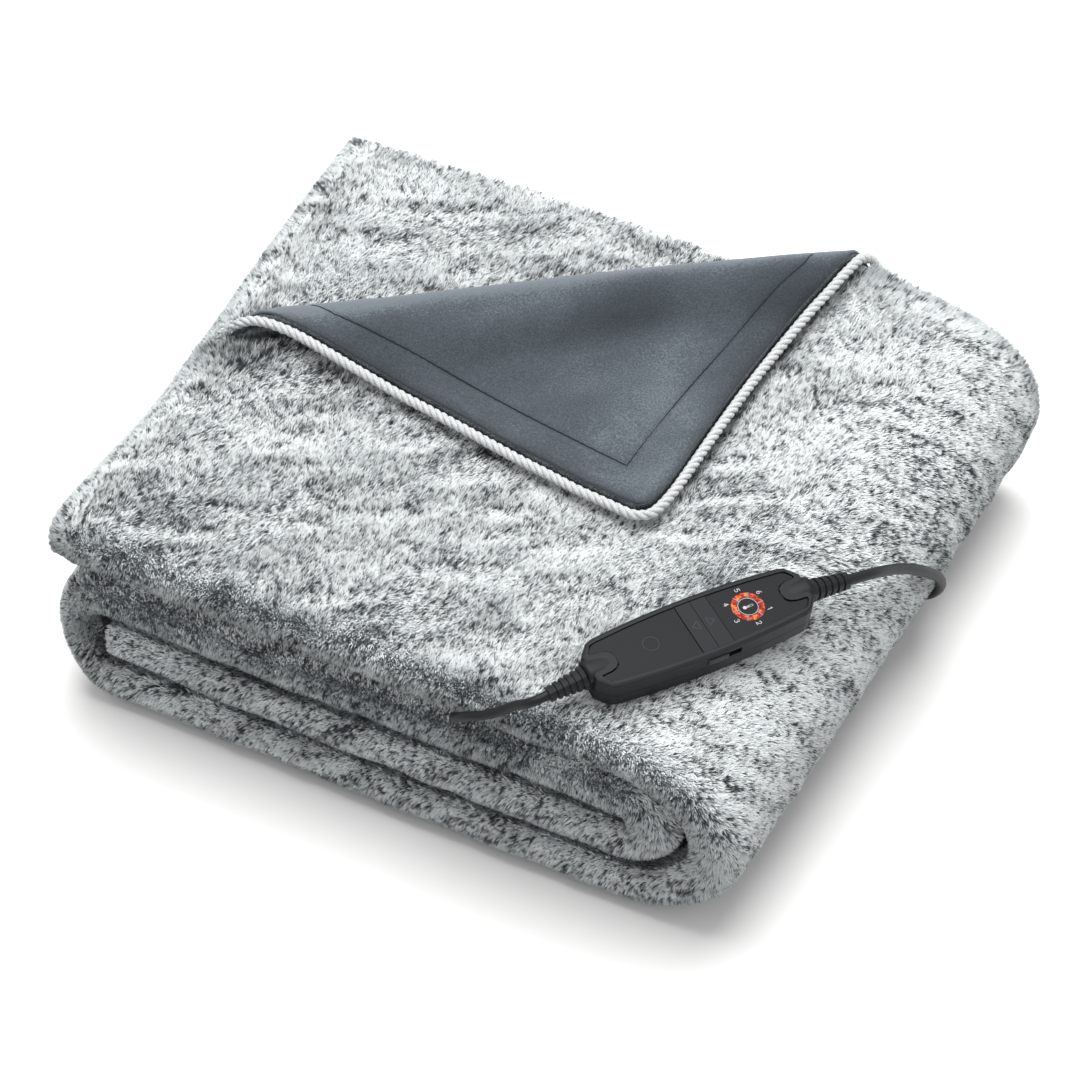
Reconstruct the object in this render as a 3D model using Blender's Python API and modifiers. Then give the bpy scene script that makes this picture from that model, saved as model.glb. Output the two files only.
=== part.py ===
"""A folded faux-fur overblanket with one corner turned back, its rope piping, its handset and its two cords. Metres, +Z up.

The cloth is folded in three lengthwise, C over B under A, and that band is rolled up flat in four layers. Distances along
the band are called s, distances across it u, and heights off the middle of a ply w. Both foldings are routes of straight
runs and half turns to the right.
"""

import math

import bmesh
import bpy
import numpy as np
from mathutils import Matrix, Vector

# The regular stack, before it is made uneven
WIDTH, DEPTH, HEIGHT = 0.482, 0.430, 0.162
PLY = 0.012  # backing and standing pile together
PITCH = 0.0135  # from one ply to the next inside a layer
LAYER_PITCH = 0.041
EDGE = 0.0205  # the top layer's free end
ROLL_X = 0.401  # where the turns of the roll begin
LEFT_X = 0.0605  # where the left turn begins
TOP_LAYER = HEIGHT - PITCH - PLY / 2
ROUTE = (  # kind, length or radius
    ("run", ROLL_X - EDGE),
    ("turn", 1.5 * LAYER_PITCH),
    ("run", ROLL_X - LEFT_X),
    ("turn", LAYER_PITCH),
    ("run", ROLL_X - LEFT_X),
    ("turn", 0.5 * LAYER_PITCH),
    ("run", ROLL_X - LEFT_X + 0.004),
)
STATIONS = (12, 10, 5, 8, 5, 6, 4)  # divisions of each row of ROUTE
C_EDGE, FRONT_FOLD, BACK_FOLD = 0.023, 0.0195, DEPTH - 0.010 - PITCH / 2 - PLY / 2
SECTION = (
    ("run", BACK_FOLD - C_EDGE),
    ("turn", PITCH / 2),
    ("run", BACK_FOLD - FRONT_FOLD),
    ("turn", PITCH),
    ("run", DEPTH),
)
ACROSS = (5, 5, 6, 7, 9)  # divisions of each row of SECTION
BACK_EDGE = DEPTH - 0.008

# The crease of the turned-back corner, seen from above: t runs along it and d towards the front
CREASE_AT = np.array((0.01476, 0.19929))
ALONG = np.array((0.80225, 0.59698))
DOWN = np.array((0.59698, -0.80225))
CREASE_BOW = np.array(  # t, bow
    (
        (0.000, 0.0245),
        (0.012, 0.0225),
        (0.030, 0.0168),
        (0.055, 0.0105),
        (0.090, 0.0053),
        (0.140, 0.0033),
        (0.200, 0.0038),
        (0.260, 0.0046),
        (0.320, 0.0059),
        (0.360, 0.0068),
        (0.385, 0.0077),
        (0.400, 0.0088),
        (0.412, 0.0122),
        (0.425, 0.0190),
    )
)
BEND = 0.0110  # radius of the crease at the middle of the cloth
SETTLED = 0.0075  # half of the height between the plies further on
PINCH = 0.005  # how far the crease comes down at its two ends
FLAP_EDGE = np.array(  # t, distance q on from the crease, of the middle of the piping
    (
        (0.0000, 0.0000),
        (0.0090, 0.0105),
        (0.0200, 0.0180),
        (0.0290, 0.0220),
        (0.0359, 0.0262),
        (0.0402, 0.0300),
        (0.0507, 0.0392),
        (0.0637, 0.0547),
        (0.0792, 0.0732),
        (0.0969, 0.0926),
        (0.1143, 0.1116),
        (0.1317, 0.1317),
        (0.1496, 0.1522),
        (0.1669, 0.1716),
        (0.1835, 0.1890),
        (0.1969, 0.2032),
        (0.2099, 0.2149),
        (0.2213, 0.2250),
        (0.2281, 0.2299),
        (0.2318, 0.2309),
        (0.2358, 0.2303),
        (0.2424, 0.2259),
        (0.2528, 0.2146),
        (0.2637, 0.1998),
        (0.2870, 0.1664),
        (0.3104, 0.1336),
        (0.3305, 0.1072),
        (0.3474, 0.0873),
        (0.3630, 0.0702),
        (0.3784, 0.0545),
        (0.3911, 0.0408),
        (0.4023, 0.0285),
        (0.4092, 0.0205),
        (0.4150, 0.0130),
        (0.4195, 0.0055),
        (0.4215, 0.0000),
    )
)
ROPE = 0.0036  # radius of the piping
ROPE_OFF = 0.0043  # from a cloth's edge to the middle of the piping
FUR_SIDES = (-0.0042, 0.0056)  # the turned-back fur ply, off its middle
VELOUR_SIDES = (-0.0062, -0.0046)
BEND_FROM = 0.0022  # where the lining starts to show, on from the crease

# The handset: its own x along it, y across it, z up from its flat bottom
HANDSET_AT = Vector((0.4008, 0.0920, 0.1545))
HANDSET_UP = Vector((0.10451, -0.01745, 0.99437))
HANDSET_HEADING = math.radians(53.7)
HOUSING_HEIGHT = 0.0203
HALF_WIDTH, WAIST, WAIST_X = 0.022, 0.0035, 0.064
CORNERS = ((0.068, 0.0170), (0.0745, 0.0095))
SEAM = 0.0095  # height of the joint between base and cover
GAP = 0.0003
RIM = 0.0036
PLATE_TOP, PLATE_THICK = 0.0195, 0.0016
KEY_X = (-0.0072, 0.00315, 0.0139)
KEY_TOP, KEY_THICK = 0.0198, 0.0029
KEY_FLOOR = 0.0157
SWITCH_X, SWITCH_LONG, SWITCH_TRAVEL = -0.0058, 0.0140, 0.0090
SWITCH_Z, SWITCH_HIGH = 0.0120, 0.0040
RELIEF_PIVOT, RELIEF_PITCH = Vector((0.068, 0.0, 0.0135)), math.radians(9)
RELIEFS = {  # start from the handset's middle, length, radius at the cord
    "relief_left": (0.0765, 0.0240, 0.0048),
    "relief_right": (0.0765, 0.0285, 0.0054),
}
RELIEF_ROOT = 0.0080

# The cords
BLANKET_CORD, MAINS_CORD = 0.0060, 0.0070
BLANKET_ROUTE = (  # x, y, z, through the air on to the top layer's fold
    (0.3245, 0.0022, 0.1575),
)
BLANKET_ROUND = (  # distance from the left, angle up the front of the fold, lift off it
    (0.3241, 34.0, 0.0042),
    (0.3157, 18.0, 0.0038),
    (0.3074, 6.0, 0.0036),
    (0.3000, -8.0, 0.0036),
    (0.2950, -24.0, 0.0036),
    (0.2925, -40.0, 0.0036),
    (0.2915, -56.0, 0.0037),
)
MAINS_OVER = (  # x, y, z, through the air on to the roll
    (0.4762, 0.2060, 0.1415),
    (0.4806, 0.2225, 0.1285),
    (0.4875, 0.2415, 0.1120),
)
MAINS_ROUND = (  # distance from the front, angle round the roll, lift off it
    (0.2525, 13.0, 0.0043),
    (0.2640, 2.0, 0.0040),
    (0.2740, -11.0, 0.0040),
    (0.2815, -25.0, 0.0041),
    (0.2885, -38.0, 0.0042),
    (0.2975, -50.0, 0.0044),
    (0.3110, -59.5, 0.0050),
)
MAINS_FLOOR = (  # x, y
    (0.4560, 0.3400),
    (0.4600, 0.3700),
    (0.4650, 0.4050),
    (0.4690, 0.4370),
    (0.4640, 0.4560),
    (0.4500, 0.4700),
    (0.4300, 0.4765),
    (0.4000, 0.4745),
    (0.3600, 0.4655),
    (0.3200, 0.4555),
    (0.2850, 0.4480),
    (0.2550, 0.4430),
)
COIL_AT, COIL_INNER, COIL_LAYERS = (0.2200, 0.4840), 0.0345, 3
PLUG_AT, PLUG_LONG, PLUG_WIDE, PLUG_HIGH = (0.1500, 0.4460), 0.0360, 0.0350, 0.0137
PIN_RADIUS, PIN_LONG, PIN_APART = 0.0020, 0.0190, 0.0186

# Middle of the box round everything but the cords
CENTRE = Vector((0.25147, 0.22116, 0.0))


def ramp(v):
    v = np.clip(v, 0.0, 1.0)
    return v * v * (3.0 - 2.0 * v)


def follow(rows, start, distance):
    """Points, and the directions to the left, at these distances along a route of runs and half turns to the right."""
    distance = np.atleast_1d(np.asarray(distance, float))
    points, lefts = np.zeros((len(distance), 2)), np.zeros((len(distance), 2))
    at, ahead, gone = np.array(start, float), np.array((1.0, 0.0)), 0.0
    for k, (kind, size) in enumerate(rows):
        left = np.array((-ahead[1], ahead[0]))
        length = size if kind == "run" else math.pi * size
        here = np.ones(len(distance), bool) if k == 0 else distance >= gone
        on = (distance[here] - gone)[:, None]
        if kind == "run":
            points[here], lefts[here] = at + on * ahead, left
            at = at + length * ahead
        else:
            centre = at - size * left
            lefts[here] = np.cos(on / size) * left + np.sin(on / size) * ahead
            points[here] = centre + size * lefts[here]
            at, ahead = centre - size * left, -ahead
        gone += length
    return points, lefts


def lengths(rows):
    return [size if kind == "run" else math.pi * size for kind, size in rows]


def marks(rows, divisions):
    """Distances along a route that divide each of its rows evenly."""
    found, gone = [0.0], 0.0
    for length, n in zip(lengths(rows), divisions, strict=True):
        found += [gone + length * (k + 1) / n for k in range(n)]
        gone += length
    return np.array(found)


def uneven(p):
    """Carries points of the regular stack into the real one, which leans, narrows to the left front and has soft troughs."""
    x, y, z = np.asarray(p, float).T
    squeezed = x - 0.0145 * np.exp(-(((x - 0.052) / 0.028) ** 2))
    fx, fy, fz = squeezed / WIDTH, y / DEPTH, z / HEIGHT
    clear = 1.0 - np.exp(-(((x - 0.40) / 0.085) ** 2) - (((y - 0.10) / 0.100) ** 2))
    trough = np.exp(-((((x - 0.16) * 0.50 + (y - 0.10) * -0.86) / 0.016) ** 2)) * ramp(
        1.4 - np.abs((x - 0.16) * 0.86 + (y - 0.10) * 0.50) / 0.085
    )
    waves = 0.0010 * np.sin(17.0 * x + 9.0 * y + 0.6) + 0.0008 * np.sin(
        9.0 * x - 21.0 * y + 2.0
    )
    behind = (x - CREASE_AT[0]) * DOWN[0] + (y - CREASE_AT[1]) * DOWN[1]
    raised = 0.0130 * ramp((0.050 - behind) / 0.160)
    lift = clear * (waves - 0.0022 * trough) * fz**3 + raised * fz**2
    spread = fy * np.exp(-((x / 0.10) ** 2)) * (0.35 + 0.65 * fz)
    front = 0.0014 * np.sin(14.0 * x + 5.0 * fz) * np.clip(1.0 - 4.0 * fy, 0.0, 1.0)
    return np.stack(
        [
            -0.003 + 0.019 * fy + fx * (0.473 + 0.0178 * fy) - 0.022 * spread,
            fy * (0.421 + 0.018 * fx) + front * np.clip(3.0 * fz, 0.0, 1.0),
            fz * (0.1641 - 0.0122 * fx) + lift,
        ],
        axis=1,
    )


def tip_drop(t):
    return PINCH * (1.0 - ramp(t / 0.040)) + PINCH * ramp((t - 0.385) / 0.040)


def bend_radius(t):
    return BEND - tip_drop(t) / 2.0


def crease(t):
    """How far towards the front the flat ply ends and its bend begins."""
    bow = np.interp(t, CREASE_BOW[:, 0], CREASE_BOW[:, 1])
    return bow - 0.883 * tip_drop(t) + bend_radius(t) + 0.006


def crease_y(x):
    """The crease's place in y at this x."""
    y = np.full(np.shape(x), 0.3)
    for _ in range(20):
        t = (x - CREASE_AT[0]) * ALONG[0] + (y - CREASE_AT[1]) * ALONG[1]
        y = CREASE_AT[1] + ((x - CREASE_AT[0]) * DOWN[0] - crease(t)) / -DOWN[1]
    return y


def corner(t, q, w):
    """Points of the regular stack on the turned-back corner, t along its crease and q on from it."""
    t, q, w = np.broadcast_arrays(*(np.asarray(v, float) for v in (t, q, w)))
    r = bend_radius(t)
    turn = np.clip(q / r, 0.0, math.pi)
    past, before = np.maximum(q - math.pi * r, 0.0), np.minimum(q, 0.0)
    d = crease(t) - r * np.sin(turn) + past - before + w * np.sin(turn)
    z = HEIGHT - PLY / 2 + r * (1.0 - np.cos(turn)) + w * np.cos(turn)
    z = z - (0.0018 + 2.0 * (r - SETTLED)) * ramp(past / 0.075)
    xy = CREASE_AT + t[..., None] * ALONG + d[..., None] * DOWN
    return np.concatenate([xy, z[..., None]], axis=-1).reshape(-1, 3)


def smooth_line(points, spacing):
    """Evenly spaced points on a smooth curve through these."""
    p = np.asarray(points, float)
    p = np.vstack([2 * p[0] - p[1], p, 2 * p[-1] - p[-2]])
    fine = []
    for a, b, c, d in zip(p, p[1:], p[2:], p[3:]):
        ta = math.sqrt(np.linalg.norm(b - a))
        tb = ta + math.sqrt(np.linalg.norm(c - b))
        tc = tb + math.sqrt(np.linalg.norm(d - c))
        for t in np.linspace(ta, tb, 17)[:-1]:
            ab = ((ta - t) * a + t * b) / ta
            bc = ((tb - t) * b + (t - ta) * c) / (tb - ta)
            cd = ((tc - t) * c + (t - tb) * d) / (tc - tb)
            abc = ((tb - t) * ab + t * bc) / tb
            bcd = ((tc - t) * bc + (t - ta) * cd) / (tc - ta)
            fine.append(((tb - t) * abc + (t - ta) * bcd) / (tb - ta))
    fine = np.vstack([fine, p[-2]])
    gone = np.append(0.0, np.cumsum(np.linalg.norm(np.diff(fine, axis=0), axis=1)))
    count = max(2, round(gone[-1] / spacing) + 1)
    at = np.linspace(0.0, gone[-1], count)
    return np.stack([np.interp(at, gone, c) for c in fine.T], axis=1)


def inside_edge(distance):
    """The turned-back corner's outline, moved in by a distance."""
    line = smooth_line(FLAP_EDGE, 0.002)
    ahead = np.gradient(line, axis=0)
    ahead /= np.linalg.norm(ahead, axis=1)[:, None]
    moved = line + distance * np.stack([ahead[:, 1], -ahead[:, 0]], axis=1)
    return moved[np.linalg.norm(moved[:, None] - line[None], axis=2).min(1) > 0.97 * distance]


CLOTH_EDGE = inside_edge(ROPE_OFF - 0.0002)
CORNER_FROM = float(np.interp(0.0, CLOTH_EDGE[:16, 1], CLOTH_EDGE[:16, 0]))
CREASE_START = CREASE_AT + CORNER_FROM * ALONG + float(crease(CORNER_FROM)) * DOWN
INSET = CREASE_START[0] - EDGE


def pulled_in(s, y):
    """The top ply's free end slants inwards to the crease."""
    return INSET * ramp(y / CREASE_START[1]) * np.clip(1.0 - s / 0.12, 0.0, 1.0)


def cloth(s, u, w):
    """Points of the regular stack, s along the band, u across it and w off the ply's middle."""
    s, u, w = (v.ravel() for v in np.broadcast_arrays(*(np.asarray(v, float) for v in (s, u, w))))
    across, out = follow(SECTION, (C_EDGE, 0.0), u)
    y, n = (across + w[:, None] * out).T
    top_ply = u >= sum(lengths(SECTION)[:3])
    s = s + np.where(top_ply, pulled_in(np.maximum(s, 0.0), np.maximum(y, 0.0)), 0.0)
    along, left = follow(ROUTE, (EDGE, TOP_LAYER), s)
    x, z = (along + n[:, None] * left).T
    return np.stack([x, y, z], axis=1)


def top_ply_end(s):
    """Where the top ply ends in y at this distance along the band: the crease, and past it the free back edge."""
    y = np.full(len(s), BACK_EDGE)
    on_top = s < ROUTE[0][1]
    found = np.full(on_top.sum(), 0.25)
    for _ in range(30):
        x = EDGE + s[on_top] + pulled_in(s[on_top], found)
        found = 0.5 * found + 0.5 * np.minimum(crease_y(x), BACK_EDGE)
    y[on_top] = found
    return y


def collection(name):
    made = bpy.data.collections.new(name)
    bpy.context.scene.collection.children.link(made)
    return made


for old in list(bpy.data.objects):
    bpy.data.objects.remove(old, do_unlink=True)
PARTS = collection("electric_heated_blanket")
CUTTERS = collection("cutters")
CUTTERS.hide_render = True

MATERIALS = {  # red, green, blue, roughness, metallic
    "fur": (0.62, 0.66, 0.67, 0.95, 0.0),
    "velour": (0.085, 0.100, 0.115, 0.90, 0.0),
    "rope": (0.82, 0.83, 0.82, 0.85, 0.0),
    "housing": (0.060, 0.065, 0.070, 0.48, 0.0),
    "panel": (0.045, 0.050, 0.056, 0.40, 0.0),
    "keys": (0.070, 0.076, 0.080, 0.50, 0.0),
    "slider": (0.085, 0.092, 0.096, 0.50, 0.0),
    "rubber": (0.040, 0.043, 0.046, 0.60, 0.0),
    "steel": (0.70, 0.70, 0.70, 0.25, 1.0),
}


def material(kind, name):
    made = bpy.data.materials.new(f"{name}_{kind}")
    made.use_nodes = True
    red, green, blue, rough, metal = MATERIALS[kind]
    shader = made.node_tree.nodes["Principled BSDF"]
    shader.inputs["Base Color"].default_value = (red, green, blue, 1.0)
    shader.inputs["Roughness"].default_value = rough
    shader.inputs["Metallic"].default_value = metal
    made.diffuse_color = (red, green, blue, 1.0)
    return made


STACK = bpy.data.objects.new("stack_place", None)
PARTS.objects.link(STACK)
STACK.location = -CENTRE
HANDSET = bpy.data.objects.new("handset_place", None)
PARTS.objects.link(HANDSET)
HANDSET.parent = STACK
up = HANDSET_UP.normalized()
level = Vector((0.0, 1.0, 0.0)).cross(up).normalized()
ahead = math.cos(HANDSET_HEADING) * level + math.sin(HANDSET_HEADING) * up.cross(level)
HANDSET_PLACE = Matrix.Translation(HANDSET_AT) @ Matrix(
    (ahead, up.cross(ahead), up)
).transposed().to_4x4()
HANDSET.matrix_local = HANDSET_PLACE


def place(obj, kind, parent, cutter=False):
    (CUTTERS if cutter else PARTS).objects.link(obj)
    obj.parent = parent
    if cutter:
        obj.hide_render, obj.display_type = True, "WIRE"
    elif obj.data is not None:
        obj.data.materials.append(material(kind, obj.name))
    return obj


def solid(name, points, faces, kind, parent, cutter=False):
    """An object from a loft's points and faces, facing out."""
    mesh = bpy.data.meshes.new(name)
    mesh.from_pydata([tuple(p) for p in points], [], faces)
    bm = bmesh.new()
    bm.from_mesh(mesh)
    bmesh.ops.recalc_face_normals(bm, faces=bm.faces)
    bm.to_mesh(mesh)
    bm.free()
    return place(bpy.data.objects.new(name, mesh), kind, parent, cutter)


def boolean(obj, other, operation):
    added = obj.modifiers.new(f"{operation.lower()}_{other.name}", "BOOLEAN")
    added.operation, added.object, added.solver = operation, other, "EXACT"


def tube(name, points, radius, kind, parent, resolution=2):
    data = bpy.data.curves.new(name, "CURVE")
    data.dimensions, data.bevel_depth = "3D", radius
    data.bevel_resolution, data.use_fill_caps = resolution, True
    spline = data.splines.new("POLY")
    spline.points.add(len(points) - 1)
    for point, at in zip(spline.points, points, strict=True):
        point.co = (*at, 1.0)
    return place(bpy.data.objects.new(name, data), kind, parent)


def slab(name, outline, low, high, kind, parent, cutter=False, round_by=0.0):
    """A flat outline raised from one height to another, with its edges rounded."""
    bm = bmesh.new()
    face = bm.faces.new([bm.verts.new((x, y, low)) for x, y in outline])
    raised = bmesh.ops.extrude_face_region(bm, geom=[face])["geom"]
    top = [v for v in raised if isinstance(v, bmesh.types.BMVert)]
    bmesh.ops.translate(bm, verts=top, vec=(0.0, 0.0, high - low))
    bmesh.ops.recalc_face_normals(bm, faces=bm.faces)
    mesh = bpy.data.meshes.new(name)
    bm.to_mesh(mesh)
    bm.free()
    obj = place(bpy.data.objects.new(name, mesh), kind, parent, cutter)
    if round_by:
        bevel = obj.modifiers.new("rounded", "BEVEL")
        bevel.width, bevel.segments = round_by, 2
        bevel.limit_method, bevel.angle_limit = "ANGLE", math.radians(50)
    return obj


def turned(name, profile, kind, parent, cutter=False, steps=16):
    """A profile of distance along +X and radius, turned round the x axis by a Screw modifier."""
    mesh = bpy.data.meshes.new(name)
    line = [(a, 0.0, r) for a, r in reversed(profile)]
    mesh.from_pydata(line, [(k, k + 1) for k in range(len(line) - 1)], [])
    obj = place(bpy.data.objects.new(name, mesh), kind, parent, cutter)
    screw = obj.modifiers.new("turned", "SCREW")
    screw.axis, screw.steps, screw.render_steps = "X", steps, steps
    screw.use_merge_vertices, screw.merge_threshold = True, 0.00001
    return obj


# --- the cloth -------------------------------------------------------------------------------------------------------
stations = marks(ROUTE, STATIONS)
stations = np.sort(np.append(stations, 0.004))
ends = top_ply_end(stations)
across = marks(SECTION, ACROSS)
top_from = sum(lengths(SECTION)[:4])
share = np.clip((across - top_from) / DEPTH, 0.0, 1.0)
rings = []
for s, y_end in zip(stations, ends, strict=True):
    u = np.where(across > top_from, top_from + share * (y_end - FRONT_FOLD), across)
    if s < ROUTE[0][1] and y_end < BACK_EDGE - 1e-6:
        u[-1] += 0.0003
    outer, inner = cloth(s, u, PLY / 2), cloth(s, u, -PLY / 2)
    rings.append(np.vstack([outer, inner[::-1]]))
n, m = len(across), 2 * len(across)
quads = [
    (i * m + j, i * m + (j + 1) % m, (i + 1) * m + (j + 1) % m, (i + 1) * m + j)
    for i in range(len(rings) - 1)
    for j in range(m)
]
for first in (0, (len(rings) - 1) * m):
    quads += [
        (first + j, first + j + 1, first + m - 2 - j, first + m - 1 - j)
        for j in range(n - 1)
    ]
fur = solid("fur_overblanket", uneven(np.vstack(rings)), quads, "fur", STACK)


def flap(name, sides, root, kind, cutter=False, columns=26, rows=10):
    """The turned-back corner as a slab between two heights, from its crease to the cloth's edge, with a root inside the flat ply."""
    first = CORNER_FROM + 0.0075
    t = first + (0.4085 - first) * 0.5 * (1.0 - np.cos(np.linspace(0.0, math.pi, columns)))
    tip = CLOTH_EDGE[CLOTH_EDGE[:, 1].argmax(), 0] + np.array((-0.007, 0.0, 0.006, 0.012))
    t = np.sort(np.append(t[np.abs(t[:, None] - tip).min(1) > 0.008], tip))
    columns = len(t)
    order = np.argsort(CLOTH_EDGE[:, 0])
    q_end = np.interp(t, CLOTH_EDGE[order, 0], CLOTH_EDGE[order, 1]) - 0.0011
    bend = math.pi * bend_radius(t)
    grid = []
    for w in sides:
        if root:
            grid.append(corner(t, -0.008, np.clip(w, -0.0042, 0.0048)))
        for k in range(rows):
            f = k / (rows - 1)
            # Half of the rows lie in the bend, where the cloth turns over
            q = np.where(
                q_end > 1.3 * bend,
                np.where(
                    f < 0.55,
                    BEND_FROM + (bend - BEND_FROM) * f / 0.55,
                    bend + (q_end - bend) * np.maximum(f - 0.55, 0.0) / 0.45,
                ),
                BEND_FROM + (np.maximum(q_end, BEND_FROM + 0.002) - BEND_FROM) * f,
            )
            grid.append(corner(t, q, np.minimum(w, bend_radius(t) - 0.0008)))
    points = np.vstack(grid)
    rows += root
    at = lambda side, k, i: (side * rows + k) * columns + i
    faces = []
    for side in (0, 1):
        faces += [
            (at(side, k, i), at(side, k, i + 1), at(side, k + 1, i + 1), at(side, k + 1, i))
            for k in range(rows - 1)
            for i in range(columns - 1)
        ]
    for k in (0, rows - 1):
        faces += [
            (at(0, k, i), at(0, k, i + 1), at(1, k, i + 1), at(1, k, i))
            for i in range(columns - 1)
        ]
    for i in (0, columns - 1):
        faces += [
            (at(0, k, i), at(0, k + 1, i), at(1, k + 1, i), at(1, k, i))
            for k in range(rows - 1)
        ]
    return solid(name, uneven(points), faces, kind, STACK, cutter)


corner_fur = flap("corner_fur", FUR_SIDES, 1, "fur", cutter=True)
boolean(fur, corner_fur, "UNION")
flap("velour_lining", VELOUR_SIDES, 0, "velour")

# --- the rope piping: up the free end, round the turned-back corner, then down the free back edge ---------------------
u_back, u_front = lengths(SECTION)[0], sum(lengths(SECTION)[:3])
end_u = np.concatenate(
    [
        np.linspace(0.0, u_back, 7),
        u_back + math.pi * PITCH / 2 * np.array((0.25, 0.5, 0.75, 1.0)),
        np.linspace(u_back + math.pi * PITCH / 2, u_front, 7)[1:],
        u_front + math.pi * PITCH * np.array((0.17, 0.33, 0.5, 0.67, 0.83, 1.0)),
        top_from + np.array((0.03, 0.06, 0.09, 0.115, 0.135)),
    ]
)


def outside(edge, step):
    """The piping's line beside a cloth's edge, from the edge and the same points a small step off the cloth."""
    along = np.gradient(edge, axis=0)
    along /= np.linalg.norm(along, axis=1)[:, None]
    out = step - edge
    out -= (out * along).sum(1)[:, None] * along
    return edge + ROPE_OFF * out / np.linalg.norm(out, axis=1)[:, None]


free_end = outside(uneven(cloth(0.0, end_u, 0.0)), uneven(cloth(-0.001, end_u, 0.0)))


def flap_edge(t, q):
    """The middle of the cloth's edge round the turned-back corner, where its piping clears the ply below."""
    p = corner(t, q, -0.0010)
    over = q > 0.8 * math.pi * bend_radius(t)
    p[:, 2] = np.where(over, np.maximum(p[:, 2], HEIGHT + ROPE + 0.0010), p[:, 2])
    return uneven(p)


shown = CLOTH_EDGE[CLOTH_EDGE[:, 1] > -0.0010]
ahead_tq = np.gradient(shown, axis=0)
ahead_tq /= np.linalg.norm(ahead_tq, axis=1)[:, None]
stepped = shown + 0.001 * np.stack([-ahead_tq[:, 1], ahead_tq[:, 0]], axis=1)
turned_edge = outside(flap_edge(*shown.T), flap_edge(*stepped.T))
often = shown[:, 1] < 0.042
turned_edge = turned_edge[often | (np.arange(len(shown)) % 5 == 0)]
run, half = ROUTE[0][1], top_from + BACK_EDGE - FRONT_FOLD + ROPE_OFF
route_s = []
gone = 0.0
for k, (length, (kind, size)) in enumerate(zip(lengths(ROUTE), ROUTE, strict=True)):
    first = turned_edge[-1][0] + 0.018 - EDGE if k == 0 else 0.0
    count = max(2, round((length - first) / 0.08)) if kind == "run" else max(5, round(7 * size / 0.0615) + 2)
    route_s += list(gone + np.linspace(first, length, count, endpoint=False))
    gone += length
back_edge = cloth(np.array([*route_s, gone]), half, 0.0)
rope_route = np.vstack([free_end, turned_edge, uneven(back_edge)])


def thinned(points, within):
    """Leaves out the points that the line passes nearly straight through."""
    kept = [0]
    for k in range(1, len(points) - 1):
        a, b = points[kept[-1]], points[k + 1]
        middle = points[kept[-1] + 1 : k + 1]
        on = (b - a) / np.linalg.norm(b - a)
        off = np.linalg.norm((middle - a) - ((middle - a) @ on)[:, None] * on, axis=1)
        if off.max() > within or np.linalg.norm(b - a) > 0.12:
            kept.append(k)
    return points[[*kept, len(points) - 1]]


tube("rope_piping", thinned(smooth_line(rope_route, 0.005), 0.0003), ROPE, "rope", STACK)


# --- the handset -----------------------------------------------------------------------------------------------------
def half_width(x):
    return HALF_WIDTH - WAIST * (x / WAIST_X) ** 2


def housing_outline():
    side = [(x, half_width(x)) for x in np.linspace(-WAIST_X, WAIST_X, 9)]
    side = [(-x, y) for x, y in reversed(CORNERS)] + side + list(CORNERS)
    return side + [(x, -y) for x, y in reversed(side)]


def panel_outline(low, high, inset, margin):
    """The recessed panel between two places in x, notched round the cable bosses at its ends."""
    reach, less = 0.0700, 1.6 * (inset - RIM)
    xs = np.linspace(max(low, -0.0635), min(high, 0.0635), 7)
    side = [(x, half_width(x) - inset) for x in xs]
    notch = ((reach - less, 0.0066), (0.0645, 0.0060), (0.0610, 0.0049), (0.0586, 0.0028), (0.0578, 0.0))
    end = [(0.0668 - less, 0.0142 - less), (reach - less, 0.0096)]
    end += [(x - (0 if k == 0 else margin), y + margin) for k, (x, y) in enumerate(notch[:-1])]
    end += [(notch[-1][0] - margin, 0.0)]
    if high > 0.06:
        side = side + end
    if low < -0.06:
        side = [(-x, y) for x, y in reversed(end)] + side
    return side + [(x, -y) for x, y in reversed(side) if y > 1e-9]


def boss(name, sign):
    """The cable's raised root on the housing, pitched down towards the end."""
    start, length = 0.0575, RELIEFS["relief_left"][0] - 0.0575
    profile = [(0.0, 0.0), (0.0010, 0.0026), (0.0030, 0.0044), (0.0060, 0.0057), (length, RELIEF_ROOT)]
    profile += [(length, 0.0)]
    obj = turned(name, profile, "housing", HANDSET, cutter=True)
    on_axis(obj, sign, start)
    return obj


def on_axis(obj, sign, start):
    """Puts a turned piece on one of the two cable axes, starting this far out from the handset's middle."""
    at = RELIEF_PIVOT + Vector((start - RELIEF_PIVOT.x, 0.0, -(start - RELIEF_PIVOT.x) * math.tan(RELIEF_PITCH)))
    spin = Matrix.Rotation(RELIEF_PITCH, 4, "Y")
    turn = Matrix.Rotation(0.0 if sign > 0 else math.pi, 4, "Z")
    obj.matrix_local = turn @ Matrix.Translation(at) @ spin
    return turn @ Matrix.Translation(at) @ spin


def block(name, low, high, parent):
    bpy.ops.mesh.primitive_cube_add(size=1.0)
    obj = bpy.context.object
    obj.name = obj.data.name = name
    for other in list(obj.users_collection):
        other.objects.unlink(obj)
    low, high = Vector(low), Vector(high)
    for v in obj.data.vertices:
        v.co = [(a + b) / 2 + c * (b - a) for a, b, c in zip(low, high, v.co)]
    return place(obj, None, parent, cutter=True)


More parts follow.
